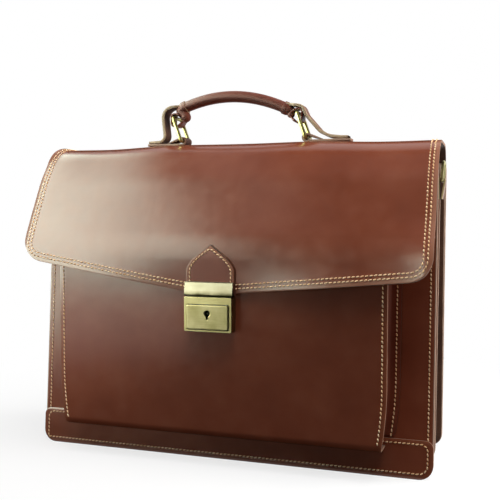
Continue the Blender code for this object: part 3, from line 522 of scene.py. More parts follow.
# both gusset leathers hold painted shade for their recesses
gussetLeather = vegetableTannedLeather("gusset leather darkened by painted shade", gussetShadeBrown)
pocketSide = vegetableTannedLeather("pocket gusset leather darkened by painted shade", pocketShadeBrown)
tabLeather = vegetableTannedLeather("tab leather", tabBrown, (0.0035,))
gripLeather = vegetableTannedLeather("rolled grip leather", gripBrown)
strapLeather = vegetableTannedLeather("strap leather", strapBrown, (0.002,))
neckLeather = cutLeatherEdge("gathered end of the grip leather", "#7c3f2c", "#5e2c1e")
rawEdge = cutLeatherEdge("cut leather edge", "#a5826a", "#7a5442")
panelEdge = cutLeatherEdge("pale cut edge of the panels", "#d0b09c", "#a5816b")
khakiEdge = cutLeatherEdge("khaki cut edge of the side tabs", "#e0cf9c", "#bfae78")
flapEdge = cutLeatherEdge("cut edge of the flap", "#94705a", "#6b4936")
# a dark burnished edge, and also the painted shadow round the lock tab
darkEdgeAndShadow = cutLeatherEdge("dark burnished edge and painted shadow", "#5c2f1b", "#3d1e10")
tanEdge = cutLeatherEdge("tan cut leather edge", "#c0a583", "#957654")
flesh = fleshSide("flesh side of leather", "#6b4a38", "#43291d")
paleFlesh = fleshSide("pale flesh side of the panels", "#ecd6c4", "#d2b6a0")
strapFlesh = fleshSide("flesh side of strap leather", "#553323", "#361c12")
thread = waxedThread("waxed linen thread", "#ffddb0", "#efba80")
steel = springSteel("spring steel")
board = pressedBoard("pressed fibre board")
cord = cottonCord("laid cotton cord")
satinBrass = antiqueBrass("brushed antique brass", "#a3946c", "#857651", 0.40)
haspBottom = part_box("lock_case")[1].z
haspPaintedShade = (haspBottom, haspBottom + 0.0060)  # painted shade darkens the hasp towards its foot
paleBrass = antiqueBrass("pale brushed brass", "#8c8170", "#796d5a", 0.38, gathered=haspPaintedShade)
plateBrass = antiqueBrass("worn brushed brass", "#9b8c6a", "#7c6f4b", 0.40)
polishedBrass = antiqueBrass("polished antique brass", "#bfb47a", "#958b54", 0.36, brushed=False)
# the side rings' brass is paler than the other brass, partly as a painted highlight
highlightBrass = antiqueBrass("antique brass paled as a painted highlight", "#e2d9a0", "#b8ae72", 0.32, brushed=False)
# the key barrel is darkened as painted shade inside the keyhole
keyholeShadeBrass = antiqueBrass("brass darkened as painted keyhole shade", "#4a473a", "#2b2920", 0.35, brushed=False)
hide = [flapLeather, flapEdge, flesh]
bodyHide = [bodyLeather, rawEdge, flesh]
panelHide = [panelLeather, panelEdge, paleFlesh]
gripHide = [gripLeather, tanEdge, flesh]
print("materials made")

flapLook = {
    "thickness": 0.0026,
    "back": 0.020,  # radius of the bend behind the top
    # bends from the knee up to the brow: y, z and radius; the leather bellies out between them
    "bends": ((-0.0869, 0.2095, 0.060), (-0.0548, 0.2750, 0.080), (-0.0275, 0.3100, 0.050)),
    "corner": 0.020,
    "hem": 0.0342,  # its height at the middle, with its slopes and how far its point is rounded
    "slopeLeft": 0.164,
    "slopeRight": 0.10,
    "flat": 0.016,
    "droopLeft": 0.0025,
    "droopRight": 0.0020,
    "droopFrom": 0.06,  # distance from the middle where the droop begins, and its run
    "droopRun": 0.09,
    # how far the hem stands off the pocket on both sides of the lock, and the right corner more
    "flareLeft": 0.0058,
    "flareRight": 0.0105,
    "flareCorner": 0.0058,
    "knee": 0.088,  # place along the flap's line below which it stands off
    "fullness": 0.0010,  # how far the left end stands proud near the top
    "crest": 0.297,  # height of that fullness, and how fast it dies out
    "crestHalf": 0.016,
    "curl": 0.0024,  # how far the left end lifts
    "wave": 0.00035,
    "yoke": 0.050,
}
flapLow, flapHigh = boxOf("flap")
flapHalf = flapHigh[0]
flapTop = max(flapHigh[2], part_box("flap_stiffener")[1].z + 0.0002)
yokeY = boxOf("flap_yoke")[1][1]
lockLow, lockHigh = boxOf("lock_case")
turns = [
    (max(flapLow[1], flapLook["bends"][0][0]), lockLow[2], 0),
    *flapLook["bends"],
    (yokeY, flapTop, flapLook["back"]),
    (yokeY, flapTop - flapLook["back"] - flapLook["yoke"], 0),
]
flapLine = roundedPath([turn[:2] for turn in turns], [turn[2] for turn in turns], steps=24)
flapLength = lengthsAlong(flapLine)[-1]


def onFlap(x, s, out=0.0):
    # the flap's line carried across x: a point s along the line, moved out along its normal by
    # waves a sin(37 x) sin(21 s), lowered towards the ends by a cosine droop, fuller and curled
    # up at the left end, and standing off the pocket by a power of the height below the knee
    place = pointsAt(flapLine, s)
    course = unit(pointsAt(flapLine, s + lineStep) - pointsAt(flapLine, s - lineStep))
    z0 = place[..., 1]
    crest = np.exp(-(((z0 - flapLook["crest"]) / flapLook["crestHalf"]) ** 2))
    crest = crest * (place[..., 0] < flapLook["back"])
    swell = flapLook["fullness"] * smoothStep(-x, 0.06, 0.2) * crest
    wave = flapLook["wave"] * np.sin(x * 37 + 1.2) * np.sin(s * 21 + 0.6)
    wave = wave * smoothStep(s, 0.05, 0.1) * smoothStep(0.2 - np.abs(x), 0, 0.05)
    right = flapLook["flareRight"] * smoothStep(x, 0.014, 0.155)
    left = flapLook["flareLeft"] * smoothStep(-x, 0.020, 0.140)
    below = np.clip((flapLook["knee"] - s) / 0.05, 0, 1.3) ** 1.3
    loose = np.where(x > 0, right, left) * below
    toCorner = np.clip((x - 0.138) / 0.055, 0, 1.05) ** 2
    loose = loose + flapLook["flareCorner"] * toCorner * smoothStep(0.115 - s, 0, 0.05)
    move = out + swell + loose + wave
    y = place[..., 0] - course[..., 1] * move
    z = z0 + course[..., 0] * move
    high = np.clip(1 - (flapTop - z) / 0.07, 0, 1)
    most = np.where(x > 0, flapLook["droopRight"], flapLook["droopLeft"])
    toEnd = np.clip((np.abs(x) - flapLook["droopFrom"]) / flapLook["droopRun"], 0, 1)
    droop = most * (1 - np.cos(np.pi * toEnd)) / 2 * high
    atEnd = np.clip((-x - 0.189) / 0.012, 0, 1) ** 2
    lift = flapLook["curl"] * atEnd * smoothStep(z0, 0.285, 0.305)
    return stacked(x, y, z - droop + lift)


def hemAt(x):
    # the hem's height: h + m (sqrt(x^2 + f^2) - f), with a slope m for each side
    slope = np.where(x > 0, flapLook["slopeRight"], flapLook["slopeLeft"])
    return flapLook["hem"] + slope * (np.hypot(x, flapLook["flat"]) - flapLook["flat"])


def flapGap(x, s):
    # distance to the flap's edge, over its whole length from the hem to the yoke's hem
    end = np.minimum(s - hemAt(x), flapLength - s)
    return insideCorner(flapHalf - np.abs(x), end, flapLook["corner"])


def flapOutline(gap):
    # the line that runs this far inside the flap's edge, from the yoke round the hem and back
    radius = flapLook["corner"]
    end, edge, back = flapHalf - radius, flapHalf - gap, flapLength - radius
    turn = np.linspace(0, np.pi / 2, 14)[1:-1]
    across, up = (radius - gap) * np.cos(turn), (radius - gap) * np.sin(turn)
    hemRight, hemLeft = hemAt(np.array([end, -end])) + radius
    x = np.linspace(end, -end, 120)
    top = stacked(np.linspace(0, end, 40), flapLength - gap)
    upper = stacked(end + across, back + up)[::-1]
    parts = [
        top,
        upper,
        [[edge, back], [edge, hemRight]],
        stacked(end + across, hemRight - up),
        stacked(x, hemAt(x) + gap),
        stacked(-end - up, hemLeft - across),
        [[-edge, hemLeft], [-edge, back]],
        upper[::-1] * [-1, 1],
        top[::-1] * [-1, 1],
    ]
    return evenly(np.concatenate(parts))


x = cornerColumns(flapHalf, flapLook["corner"], 44, 10)
lift = cornerLift(x, flapHalf, flapLook["corner"])
s = spaced(hemAt(x) + lift, flapLength - lift, 200)
x = x + 0 * s
flapPiece = gridPiece(
    "flap_leather",
    onFlap(x, s),
    hide,
    uv=stacked(x, s),
    attributes={"edgeGap": flapGap(x, s), "sideGap": flapHalf - np.abs(x)},
)
giveWall(flapPiece, flapLook["thickness"])
rows = []
for k, gap in enumerate(seamGaps):
    line = flapOutline(gap).T
    points = onFlap(*line)
    rows.append(stitchRow(points, onFlap(*line, 0.001) - points, start=0.25 + 0.5 * k))
for piece in (flapPiece, stitchPiece("flap_stitches", rows)):
    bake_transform(piece)
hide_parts("flap", "flap_bend", "flap_yoke")
print("flap made")

panelLook = {"thickness": 0.0024, "foot": 0.013, "top": 0.006, "crown": 0.0006, "rows": 70}
panelSeam = {"gap": 0.005, "half": 0.2, "underYoke": 0.24}
wall, foot = panelLook["thickness"], panelLook["foot"]


def panelPiece(name, node, face, look=panelLook, leather=panelHide, front=True, spread=0.0):
    # an upright sheet with rounded corners: x by height, its face a leaning plane with a slight
    # crown, c cos(pi x / w) sin(pi z / h)
    high = boxOf(node)[1]
    half, height = high[0], look.get("height", high[2])
    x = cornerColumns(half, foot)
    top = height - cornerLift(x, half, look["top"])
    z = spaced(cornerLift(x, half, foot), top, look["rows"])
    x = x + 0 * z
    crown = look["crown"] * np.cos(np.pi * x / (2 * half)) * np.sin(np.pi * z / height)
    y = face(z) + (-crown if front else crown)
    wide = x * (1 + spread / half * (0.4 + 0.6 * z / height))
    edge = np.minimum(z, height - z)
    gap = insideCorner(half - np.abs(x), edge, look.get("edgeCorner", foot))
    piece = gridPiece(
        name,
        stacked(wide, y, z),
        leather,
        uv=stacked(x, z),
        flip=not front,
        attributes={"edgeGap": gap},
    )
    giveWall(piece, look["thickness"])
    settle(piece, "case", node)


bodyHalf, panelBack, bodyHeight = boxOf("front_panel")[1]
frontY, backY = boxOf("front_panel")[0][1], boxOf("back_panel")[1][1]
frontLean = (panelBack - wall - frontY) / bodyHeight
dividerLean = frontLean / 2


def frontFace(z):
    return frontY + frontLean * z


def dividerFace(z):
    return dividerLean * z - wall / 2


def backFace(z):
    return backY + 0 * z


panelPiece("front_panel_leather", "front_panel", frontFace)
panelPiece("divider_leather", "divider_panel", dividerFace, spread=0.0021)
panelPiece("back_panel_leather", "back_panel", backFace, front=False, spread=0.0020)


def uprightRow(height, face, out):
    # a stitch row inside the sides and the foot of an upright panel
    gap = panelSeam["gap"]
    edge, radius = panelSeam["half"] - gap, foot - gap
    corners = [(-edge, height - gap), (-edge, gap), (edge, gap), (edge, height - gap)]
    return rowOn(roundedPath(corners, [0, radius, radius, 0], steps=10), face, out)


frontRow = uprightRow(bodyHeight, frontFace, -1)
backRow = uprightRow(panelSeam["underYoke"], backFace, 1)
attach(stitchPiece("front_panel_stitches", [frontRow]), "case")
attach(stitchPiece("back_panel_stitches", [backRow]), "case")
print("panels made")

gussetLook = {
    "thickness": 0.0016,
    "flange": 0.009,
    "fold": 0.034,
    "power": 0.6,
    "inset": 0.003,
    "drop": 0.012,  # of their tops under the panels' tops
}


def foldedPiece(node, columns, materials, flip):
    # a folded strip, given by the lines that run along it
    piece = gridPiece(node + "_leather", np.stack(columns, 1), materials, flip=flip)
    giveWall(piece, gussetLook["thickness"], arris=0.0003, smoothing=1)
    settle(piece, "case", node)


def gussetStrip(node, path, inward, folds, faces, insets, flip=False):
    # across the strip: a flange on the front panel, a fold that runs inwards, a flange on the
    # rear one; the fold's depth follows d sin(pi s / 2)^p up from the foot
    near, far = faces
    flange = gussetLook["flange"]
    deepest = flange + max(insets) + folds
    depths = [insets[0], insets[0] + flange * 0.8, insets[0] + flange, deepest * 0.93, deepest]
    depths += [deepest * 0.93, insets[1] + flange, insets[1] + flange * 0.8, insets[1]]
    shares = [0, 0, 0.07, 0.40, 0.5, 0.60, 0.93, 1, 1]
    columns = []
    for depth, share in zip(depths, shares):
        x, z = path.T + inward.T * depth
        columns.append(stacked(x, near(z) + (far(z) - near(z)) * share, z))
    foldedPiece(node, columns, [gussetLeather, rawEdge, flesh], flip)


# faces of a piece that lies against the back or the front of a panel
def behind(face):
    return lambda z: face(z) + wall + clearance


def before(face, thickness=0.0):
    return lambda z: face(z) - clearance - thickness


inset = gussetLook["inset"]
compartments = {
    "front": ((behind(frontFace), before(dividerFace)), (0.0, inset)),
    "rear": ((behind(dividerFace), before(backFace, wall)), (inset, 0.0)),
}
heights = np.linspace(bodyHeight - gussetLook["drop"], foot, 24)
turns = np.radians(np.linspace(9, 88, 10))
out = stacked(np.cos(turns), -np.sin(turns))
edge = stacked(bodyHalf, heights)
path = np.concatenate([edge, np.array([bodyHalf - foot, foot]) + out * foot])
normals = np.concatenate([np.tile([-1.0, 0.0], (24, 1)), -out])
share = lengthsAlong(path)[::-1] / lengthsAlong(path)[-1]
folds = gussetLook["fold"] * np.sin(share * np.pi / 2) ** gussetLook["power"]
reach = bodyHalf - foot - clearance
base = stacked(np.linspace(reach, -reach, 30), 0.0)
for compartment, (faces, insets) in compartments.items():
    for hand, side in ((1, "right"), (-1, "left")):
        turned = np.array([hand, 1])
        node = f"gusset_{compartment}_{side}"
        gussetStrip(node, path * turned, normals * turned, folds, faces, insets, hand < 0)
    flat = np.full(30, -max(insets) / 2)
    node = f"gusset_{compartment}_base"
    gussetStrip(node, base, np.tile([0.0, 1.0], (30, 1)), flat, faces, insets)
print("gussets made")

pocketLook = {
    "thickness": 0.002,
    "floor": 0.029,
    "tuck": 0.0262,  # height at which the folded panel ends behind the band
    "fold": 0.008,
    "half": 0.162,
    "flange": 0.0075,
    "bellows": 0.007,
    "taper": 0.005,
    "lean": 0.001,
    "crown": 0.0012,
    "wrinkle": 0.00025,
}
bandLook = {"thickness": 0.002, "height": 0.035, "top": 0.007, "edgeCorner": 0.007}
bandLook = {**panelLook, **bandLook, "crown": 0, "rows": 14}
(pocketLow, pocketHigh), pocketFloor = boxOf("pocket_panel"), pocketLook["floor"]
pocketY, pocketTop = pocketLow[1], pocketHigh[2]
pocketFoot = pocketFloor + pocketLook["fold"]  # where the panel is upright from


def pocketShare(z):
    return (z - pocketFloor) / (pocketTop - pocketFloor)


def pocketHalf(z):
    # half the pocket's width, which narrows by t (1 - s)^2 towards its floor
    share = np.clip(pocketShare(z) * 3, 0, 1)
    return pocketLook["half"] - pocketLook["taper"] * (1 - share) ** 2


def pocketFace(z):
    return pocketY + pocketLook["lean"] * pocketShare(z)


thick, tuck = pocketLook["thickness"], pocketLook["tuck"]
profile = roundedPath(
    [
        (frontFace(tuck) - clearance - thick * 0.5, tuck),
        (pocketY, pocketFloor),
        (pocketFace(pocketTop), pocketTop),
    ],
    [0, pocketLook["fold"], 0],
    steps=12,
)
bend = lengthsAlong(profile)
profile = pointsAt(profile, np.concatenate([bend[:-1], np.linspace(*bend[-2:], 60)[1:]]))
y, z = profile[:, :1], profile[:, 1:]
x = np.linspace(1, -1, 61)
half = pocketHalf(z)
# pushed out by a crown c cos(pi x / 2) sin(pi m), and wavy by a sin(9 x + 60 z) sin(pi m)
# e^-(3 x)^2, with m the share of the height
mid = np.sin(np.pi * np.clip((z - pocketFoot) / (pocketTop - pocketFoot), 0, 1))
crown = pocketLook["crown"] * np.cos(np.pi * x / 2) * mid
wrinkle = pocketLook["wrinkle"] * np.sin(x * 9 + z * 60) * mid * np.exp(-((x * 3) ** 2))
along = lengthsAlong(profile)[:, None]
edge = np.minimum(half - np.abs(x) * half, along[-1] - along + leastGap)
pocketPiece = gridPiece(
    "pocket_leather",
    stacked(half * x, y - crown + wrinkle, z),
    bodyHide,
    uv=stacked(half * x, along),
    flip=True,
    attributes={"edgeGap": edge},
)
giveWall(pocketPiece, thick)
settle(pocketPiece, "case")
bandFace = before(frontFace, thick)
panelPiece("base_band_leather", "pocket_panel", bandFace, bandLook, bodyHide)

heights = np.linspace(pocketFoot, pocketTop - 0.004, 30)
half = pocketHalf(heights)
inner, outer = pocketFace(heights) + thick + clearance, frontFace(heights) - clearance
middle = (inner + outer) / 2
flange = pocketLook["flange"]
# across a side of the pocket: a flange on its panel, bellows inwards, a flange on the body
deep = flange + pocketLook["bellows"] * np.minimum(1, 0.35 + (heights - heights[0]) / 0.020)
sections = [
    (half, inner),
    (half - flange * 0.8, inner),
    (half - flange, inner + (middle - inner) * 0.12),
    (half - deep, middle - (middle - inner) * 0.25),
    (half - deep, middle + (outer - middle) * 0.15),
    (half - flange * 0.5, outer - (outer - middle) * 0.06),
    (half - flange * 0.3, outer),
    (half + flange * 0.15, outer),
    (half + flange, outer),
]
for hand, side in ((1, "right"), (-1, "left")):
    columns = [stacked(hand * a, b, heights) for a, b in sections]
    foldedPiece(f"pocket_gusset_{side}", columns, [flesh, darkEdgeAndShadow, pocketSide], hand > 0)

# from, to, distance outside the pocket's edge, and the face that carries the row
seams = {
    "pocket": (0.0355, pocketTop - 0.003, -0.0042, pocketFace),
    "flange": (0.036, pocketTop - 0.005, 0.0035, before(frontFace, gussetLook["thickness"])),
}
rows = []
for hand in (1, -1):
    for low, high, beyond, face in seams.values():
        z = np.linspace(low, high, 60)
        rows.append(rowOn(stacked(hand * (pocketHalf(z) + beyond), z), face, -1))
x, low, high = 0.195, 0.005, 0.0315
line = [(-x, low), (-x, high), (x, high), (x, low), (-x, low)]
rows.append(rowOn(roundedPath(line, [0, 0.006, 0.006, 0.008, 0]), bandFace, -1))
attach(stitchPiece("pocket_stitches", rows), "case")
print("pocket made")

tabLook = {
    "width": 0.047,
    "thickness": 0.0018,
    "point": 0.0241,
    "power": 1.15,
    # how far the painted shadow reaches beyond the tab's edge
    "outline": 0.0009,
    "seam": 0.0033,  # gap and pitch of its stitch row, with how far below the tip it runs
    "pitch": 0.0036,
    "seamTop": 0.0045,
}
tabTop = boxOf("lock_tab")[1][2]
shoulder = tabTop - tabLook["point"]
sideFoot, middleFoot = lockHigh[2] + 0.0007, lockHigh[2] + 0.0035


def tabHalfAt(rise, least=0.0):
    # half the tab's width: w / 2 sin(pi t / 2)^p, t the share of the point that is left above
    left = np.clip((tabTop - lockLow[2] - rise) / tabLook["point"], least, 1)
    return tabLook["width"] / 2 * np.sin(left * np.pi / 2) ** tabLook["power"]


beside = np.linspace(-1, -0.56, 8)
shares = np.concatenate([beside, np.linspace(-0.55, 0.55, 15), -beside[::-1]])
tabFoot = np.where(np.abs(shares) < 0.555, middleFoot, sideFoot)
point = shoulder + tabLook["point"] * np.sin(np.linspace(0, np.pi / 2, 40)[1:])
straight = spaced(tabFoot, shoulder, 16)
rise = np.concatenate([straight, point[:, None] + 0 * shares]) - lockLow[2]
tabHalf = tabHalfAt(rise, 0.0004)
tabPiece = gridPiece(
    "lock_tab_leather",
    onFlap(tabHalf * shares, rise, clearance + tabLook["thickness"]),
    [tabLeather, darkEdgeAndShadow, flesh],
    uv=stacked(tabHalf * shares, rise),
    attributes={"edgeGap": tabHalf * (1 - np.abs(shares)) * 0.85},
)
giveWall(tabPiece, tabLook["thickness"], arris=0.0004)
settle(tabPiece, "flap", "lock_tab")
# a dark sheet a little wider than the tab, under its edge: painted shadow round the tab, which
# shows as a dark outline
outline = tabLook["outline"]
wider = rise + outline * smoothStep(rise, shoulder - lockLow[2], tabTop - lockLow[2])
tabShadowPiece = gridPiece(
    "lock_tab_painted_shadow",
    onFlap((tabHalf + outline) * shares, wider, clearance + 0.0006),
    [darkEdgeAndShadow, darkEdgeAndShadow],
)
giveWall(tabShadowPiece, 0.0006, arris=0)
settle(tabShadowPiece, "flap")
rise = np.linspace(shoulder - 0.0145, tabTop - tabLook["seamTop"], 80) - lockLow[2]
line = stacked(tabHalfAt(rise) - tabLook["seam"], rise)
line = line[line[:, 0] > 0.0004]
line = np.concatenate([line, [[0, line[-1, 1] + 0.0006]], line[::-1] * [-1, 1]])
line = evenly(line, 0.0006).T
points = onFlap(*line, clearance + tabLook["thickness"])
normals = onFlap(*line, 0.004) - onFlap(*line, 0.003)
row = stitchRow(points, normals, pitch=tabLook["pitch"])
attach(stitchPiece("lock_tab_stitches", [row]), "flap")

lockLook = {
    "edge": 0.0004,
    "corner": 0.0012,
    "lip": 0.00015,
    "lipCorner": 0.0008,
    "rim": 0.0007,  # of the case that shows round the plate
    "gap": 0.0005,  # between the plate and its window
    "wall": 0.0020,  # depth of the front round the window
    "plateEdge": 0.0009,
    "hole": 0.0027,  # radius of the keyhole, width of its slot and how far that runs down
    "holeSlot": 0.0024,
    "holeReach": 0.0054,
}


def boxRing(box, inset, y, radius):
    # a rounded rectangle with as many points on every side, so that rings of it match up
    (left, right), (bottom, top) = box[:2] + [inset, -inset], box[2:] + [inset, -inset]
    outline = [(left, bottom), (right, bottom), (right, top), (left, top)]
    arcs = roundedPath(outline, [radius] * 4, steps=5).reshape(4, -1, 2)
    ring = []
    for arc, after in zip(arcs, np.roll(arcs, -1, 0)):
        run = arc[-1] + (after[0] - arc[-1]) * np.linspace(0, 1, 14)[1:-1, None]
        ring += [arc, run]
    ring = np.concatenate(ring)
    return stacked(ring[:, 0], y, ring[:, 1])


plateLow, plateHigh = boxOf("push_plate")
rim, gap = lockLook["rim"], lockLook["gap"]
inner = [plateLow[0] + rim, plateHigh[0] - rim, plateLow[2] + rim, plateHigh[2] - rim / 2]
caseBox = np.array([lockLow[0], lockHigh[0], lockLow[2], lockHigh[2]])
plateBox, windowBox = np.array(inner), np.array(inner) + [-gap, gap, -gap, gap]
front, back, edge, lip = lockLow[1], lockHigh[1], lockLook["edge"], lockLook["lip"]
bend, lipBend, hair = lockLook["corner"], lockLook["lipCorner"], 0.0001
rear = front + lockLook["wall"]
turns = np.linspace(0, np.pi / 2, 5)
# from the back round the case's edge to its window, in over the lip, and back inside the wall
rings = [(caseBox, hair, back, bend), (caseBox, 0, back - hair, bend)]
rings += [
    (caseBox, edge * (1 - np.cos(t)), front + edge * (1 - np.sin(t)), bend) for t in turns
]
rings += [(caseBox, edge + hair, front, bend), (windowBox, -lip - hair, front, lipBend)]
rings += [(windowBox, -lip * np.cos(t), front + lip * np.sin(t), lipBend) for t in turns]
rings += [(windowBox, 0, rear, lipBend), (windowBox, -hair, rear + hair, lipBend)]
rings += [(caseBox, 0.001, rear + 2 * hair, 0.0006), (caseBox, 0.001, back - 0.001, 0.0006)]
rings = np.stack([boxRing(*ring) for ring in rings])
settle(closedLoft("lock_case_brass", rings, [satinBrass]), "case", "lock_case")

barrelLow, barrelHigh = boxOf("key_barrel")
eye = barrelLow[2] + (barrelHigh[2] - barrelLow[2]) / 2
cornerAngles = [math.atan2(z - eye, x) for x in plateBox[:2] for z in plateBox[2:]]
angle = np.sort(np.concatenate([allRound(192), cornerAngles]) % (2 * np.pi))


def keyholeReach():
    # distance from the keyhole's middle to its rim: a circle joined to a slot that runs down
    down, across = -np.sin(angle), np.abs(np.cos(angle))
    sides = lockLook["holeSlot"] / 2 / np.maximum(across, 1e-6)
    inSlot = np.minimum(sides, lockLook["holeReach"] / np.maximum(down, 1e-6))
    return np.where(down > 0, np.maximum(lockLook["hole"], inSlot), lockLook["hole"])


def plateReach(inset, power=60.0):
    # distance from the keyhole's middle to the plate's edge: (a^-p + b^-p)^(-1/p) of the
    # distances a and b to its upright and level sides, which rounds the corners
    reaches = []
    for way, (low, high) in (
        (np.cos(angle), plateBox[:2] + [inset, -inset]),
        (np.sin(angle), plateBox[2:] + [inset, -inset] - eye),
    ):
        rising, falling = high / np.maximum(way, 1e-9), low / np.minimum(way, -1e-9)
        reaches.append(np.where(way > 0, rising, falling) ** -power)
    return sum(reaches) ** (-1 / power)


def plateRing(reach, y):
    return stacked(reach * np.cos(angle), y, eye + reach * np.sin(angle))


front, back, edge, hole = plateLow[1], plateHigh[1], lockLook["plateEdge"], keyholeReach()
rings = [(plateReach(0), back)]
for t in np.linspace(0, np.pi / 2, 6):
    rings.append((plateReach(edge * (1 - np.cos(t))), front + edge * 0.8 * (1 - np.sin(t))))
rings += [(plateReach(edge + 0.0003), front), (hole + 0.0008, front), (hole + 0.0004, front)]
rings += [(hole + 0.0001, front + 0.0001), (hole, front + 0.0004), (hole, back)]
rings = np.stack([plateRing(*ring) for ring in rings])
faces = gridFaces(len(rings), len(angle), closedRows=True, closedColumns=True, flip=True)
platePiece = meshPiece("push_plate_brass", rings, faces, [plateBrass])
settle(platePiece, "push_plate", "push_plate")

# pieces that keep the shape of their solid
for node, material in {
    "hasp_plate": paleBrass,
    "key_barrel": keyholeShadeBrass,
    "catch_bar": steel,
    "lock_backing_plate": steel,
    "handle_core": cord,
    "flap_stiffener": board,
}.items():
    data = frame["nodes"][node].data
    data.materials.clear()
    data.materials.append(material)

springLook = {"wire": 0.00025, "turns": 4, "clear": 0.0001}
plateJoint = next(j for j in frame["record"]["behaviour"]["joints"] if j["name"] == "plate_press")
travel = plateJoint["range_m"][1] + springLook["clear"]
for side in ("left", "right"):
    # helix: r cos t and r sin t round the spring's middle, t even along y
    node, wire = f"plate_spring_{side}", springLook["wire"]
    low, high = boxOf(node)
    (x, z), deep = (low + high)[[0, 2]] / 2, high[1] - low[1]
    radius = (high[0] - low[0]) / 2 - wire
    share = np.linspace(0, 1, 120)
    turn = 2 * np.pi * springLook["turns"] * share
    along = low[1] + wire + (deep - 2 * wire) * share
    line = stacked(x + radius * np.cos(turn), along, z + radius * np.sin(turn))
    coil = wirePiece(node + "_coil", line, wire, steel, closed=False, sides=8)
    settle(coil, "case", node)
    end, keep = (x, high[1], z), 1 - travel / deep
    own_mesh(coil)
print("lock made")

handleLook = {
    "y": 0.003,
    "span": 0.133,  # between the rings
    "baseMiddle": 0.0034,
    "ringHeight": 0.0260,
    "ringWidth": 0.022,
    "wire": 0.0019,
    "ringCorner": 0.003,
    "lean": 20,
    "grip": (-0.0595, 0.0545),
    "gripRadius": 0.0056,
    "gripWall": 0.0022,
    "apex": -0.0085,
    "arch": 3.84,
    "archTop": 0.0205,  # of the grip's line over the rings' top bars
    "strapWidth": 0.015,
    "strapThickness": 0.0024,
}
sideLook = {
    "height": 0.0175,
    "width": 0.021,
    "corner": 0.003,
    "wire": 0.0016,
    "tilt": 5,
    "tabWidth": 0.016,
    "tabThickness": 0.0017,
    "tabLength": 0.0175,
    "tabBack": 0.000825,  # where the tab's back half ends, from the ring's lower bar
}
handleY, middleX = handleLook["y"], handleLook["span"] / 2
lean = math.radians(handleLook["lean"])
places = {j["child"]: np.array(j["pos_m"]) for j in frame["joints"] if j.get("pos_m")}


def ringPiece(body, node, look, material, tilt):
    # a rectangle of round wire that stands on its lower bar, leaning by an angle along x
    width, height, radius, wire = look
    half = width / 2
    corners = [(-half, 0), (half, 0), (half, height), (-half, height)]
    line = roundedPath(corners, [radius] * 4, steps=6)
    line = np.concatenate([line, line[:1]])
    line = pointsAt(line, np.linspace(0, lengthsAlong(line)[-1], 80, endpoint=False))
    points = [math.sin(tilt) * line[:, 1], line[:, 0], math.cos(tilt) * line[:, 1]]
    up = (math.cos(tilt), 0, -math.sin(tilt))
    points = np.stack(points, -1) + places[body]
    settle(wirePiece(node + "_brass", points, wire, material, up=up), body, node)


handleRing = [handleLook[key] for key in ("ringWidth", "ringHeight", "ringCorner", "wire")]
sideRing = [sideLook[key] for key in ("width", "height", "corner", "wire")]
for hand, side in ((-1, "left"), (1, "right")):
    ringPiece(f"ring_{side}", f"handle_ring_{side}", handleRing, polishedBrass, -lean)
    tilt = hand * math.radians(sideLook["tilt"])
    ringPiece(f"side_ring_{side}", f"side_ring_{side}", sideRing, highlightBrass, tilt)

barHeight = places["ring_left"][2]
handleX = handleLook["baseMiddle"] - handleLook["ringHeight"] * math.sin(lean)
topBar = barHeight + handleLook["ringHeight"] * math.cos(lean)


def roundBar(first, bar, radius, angles, last):
    # a line from the first point round a bar to the last one
    turn = np.radians(angles)
    arc = np.array(bar) + radius * stacked(np.cos(turn), np.sin(turn))
    return np.concatenate([[first], arc, [last]])


def onHandle(line):
    # (x, z) points carried to the handle's middle plane
    return stacked(line[:, 0], handleY, line[:, 1])


def gripLine(count):
    # a shallow arch, highest a little to the left: z = top - a (x - apex)^2
    x = np.linspace(*handleLook["grip"], count)
    z = topBar + handleLook["archTop"] - handleLook["arch"] * (x - handleLook["apex"]) ** 2
    return stacked(x, z)


line = onHandle(gripLine(90) + [handleX, 0])
# radius r (0.98 + 0.06 sqrt(cos(pi u / 2))): fullest in the middle
full = 0.06 * np.cos(np.linspace(-1, 1, 90) * np.pi / 2) ** 0.5
radius = handleLook["gripRadius"] * (1 + full - 0.02)
grid = ringsRound(line, radius, allRound(28))
grid = np.concatenate([grid, grid[:, :1]], 1)
around = np.linspace(0, 2 * np.pi * handleLook["gripRadius"], 29)
uv = stacked(around, lengthsAlong(line)[:, None])
grip = gridPiece("handle_grip_leather", grid, gripHide, uv=uv, flip=True)
giveWall(grip, handleLook["gripWall"], arris=0.0004)
settle(grip, "handle", "handle_grip")

# round a strap's section: the share of its half width, how far the arris moves each point, the
# share of its half thickness, and the material of the face that follows
section = [
    (-1, 1, 1, 0),
    (-0.5, 0, 1, 0),
    (0, 0, 1, 0),
    (0.5, 0, 1, 0),
    (1, -1, 1, 1),
    (1, -0.3, 0.93, 1),
    (1, 0, 0.75, 1),
    (1, 0, -0.75, 1),
    (1, -0.3, -0.93, 1),
    (1, -1, -1, 2),
    (0.5, 0, -1, 2),
    (0, 0, -1, 2),
    (-0.5, 0, -1, 2),
    (-1, 1, -1, 1),
    (-1, 0.3, -0.93, 1),
    (-1, 0, -0.75, 1),
    (-1, 0, 0.75, 1),
    (-1, 0.3, 0.93, 1),
]
strapArris = 0.0005


def outward(path):
    # the direction to the left of the course, at each point of a line in the XZ plane
    course = unit(np.gradient(path, axis=0))
    return stacked(-course[:, 1], course[:, 0])


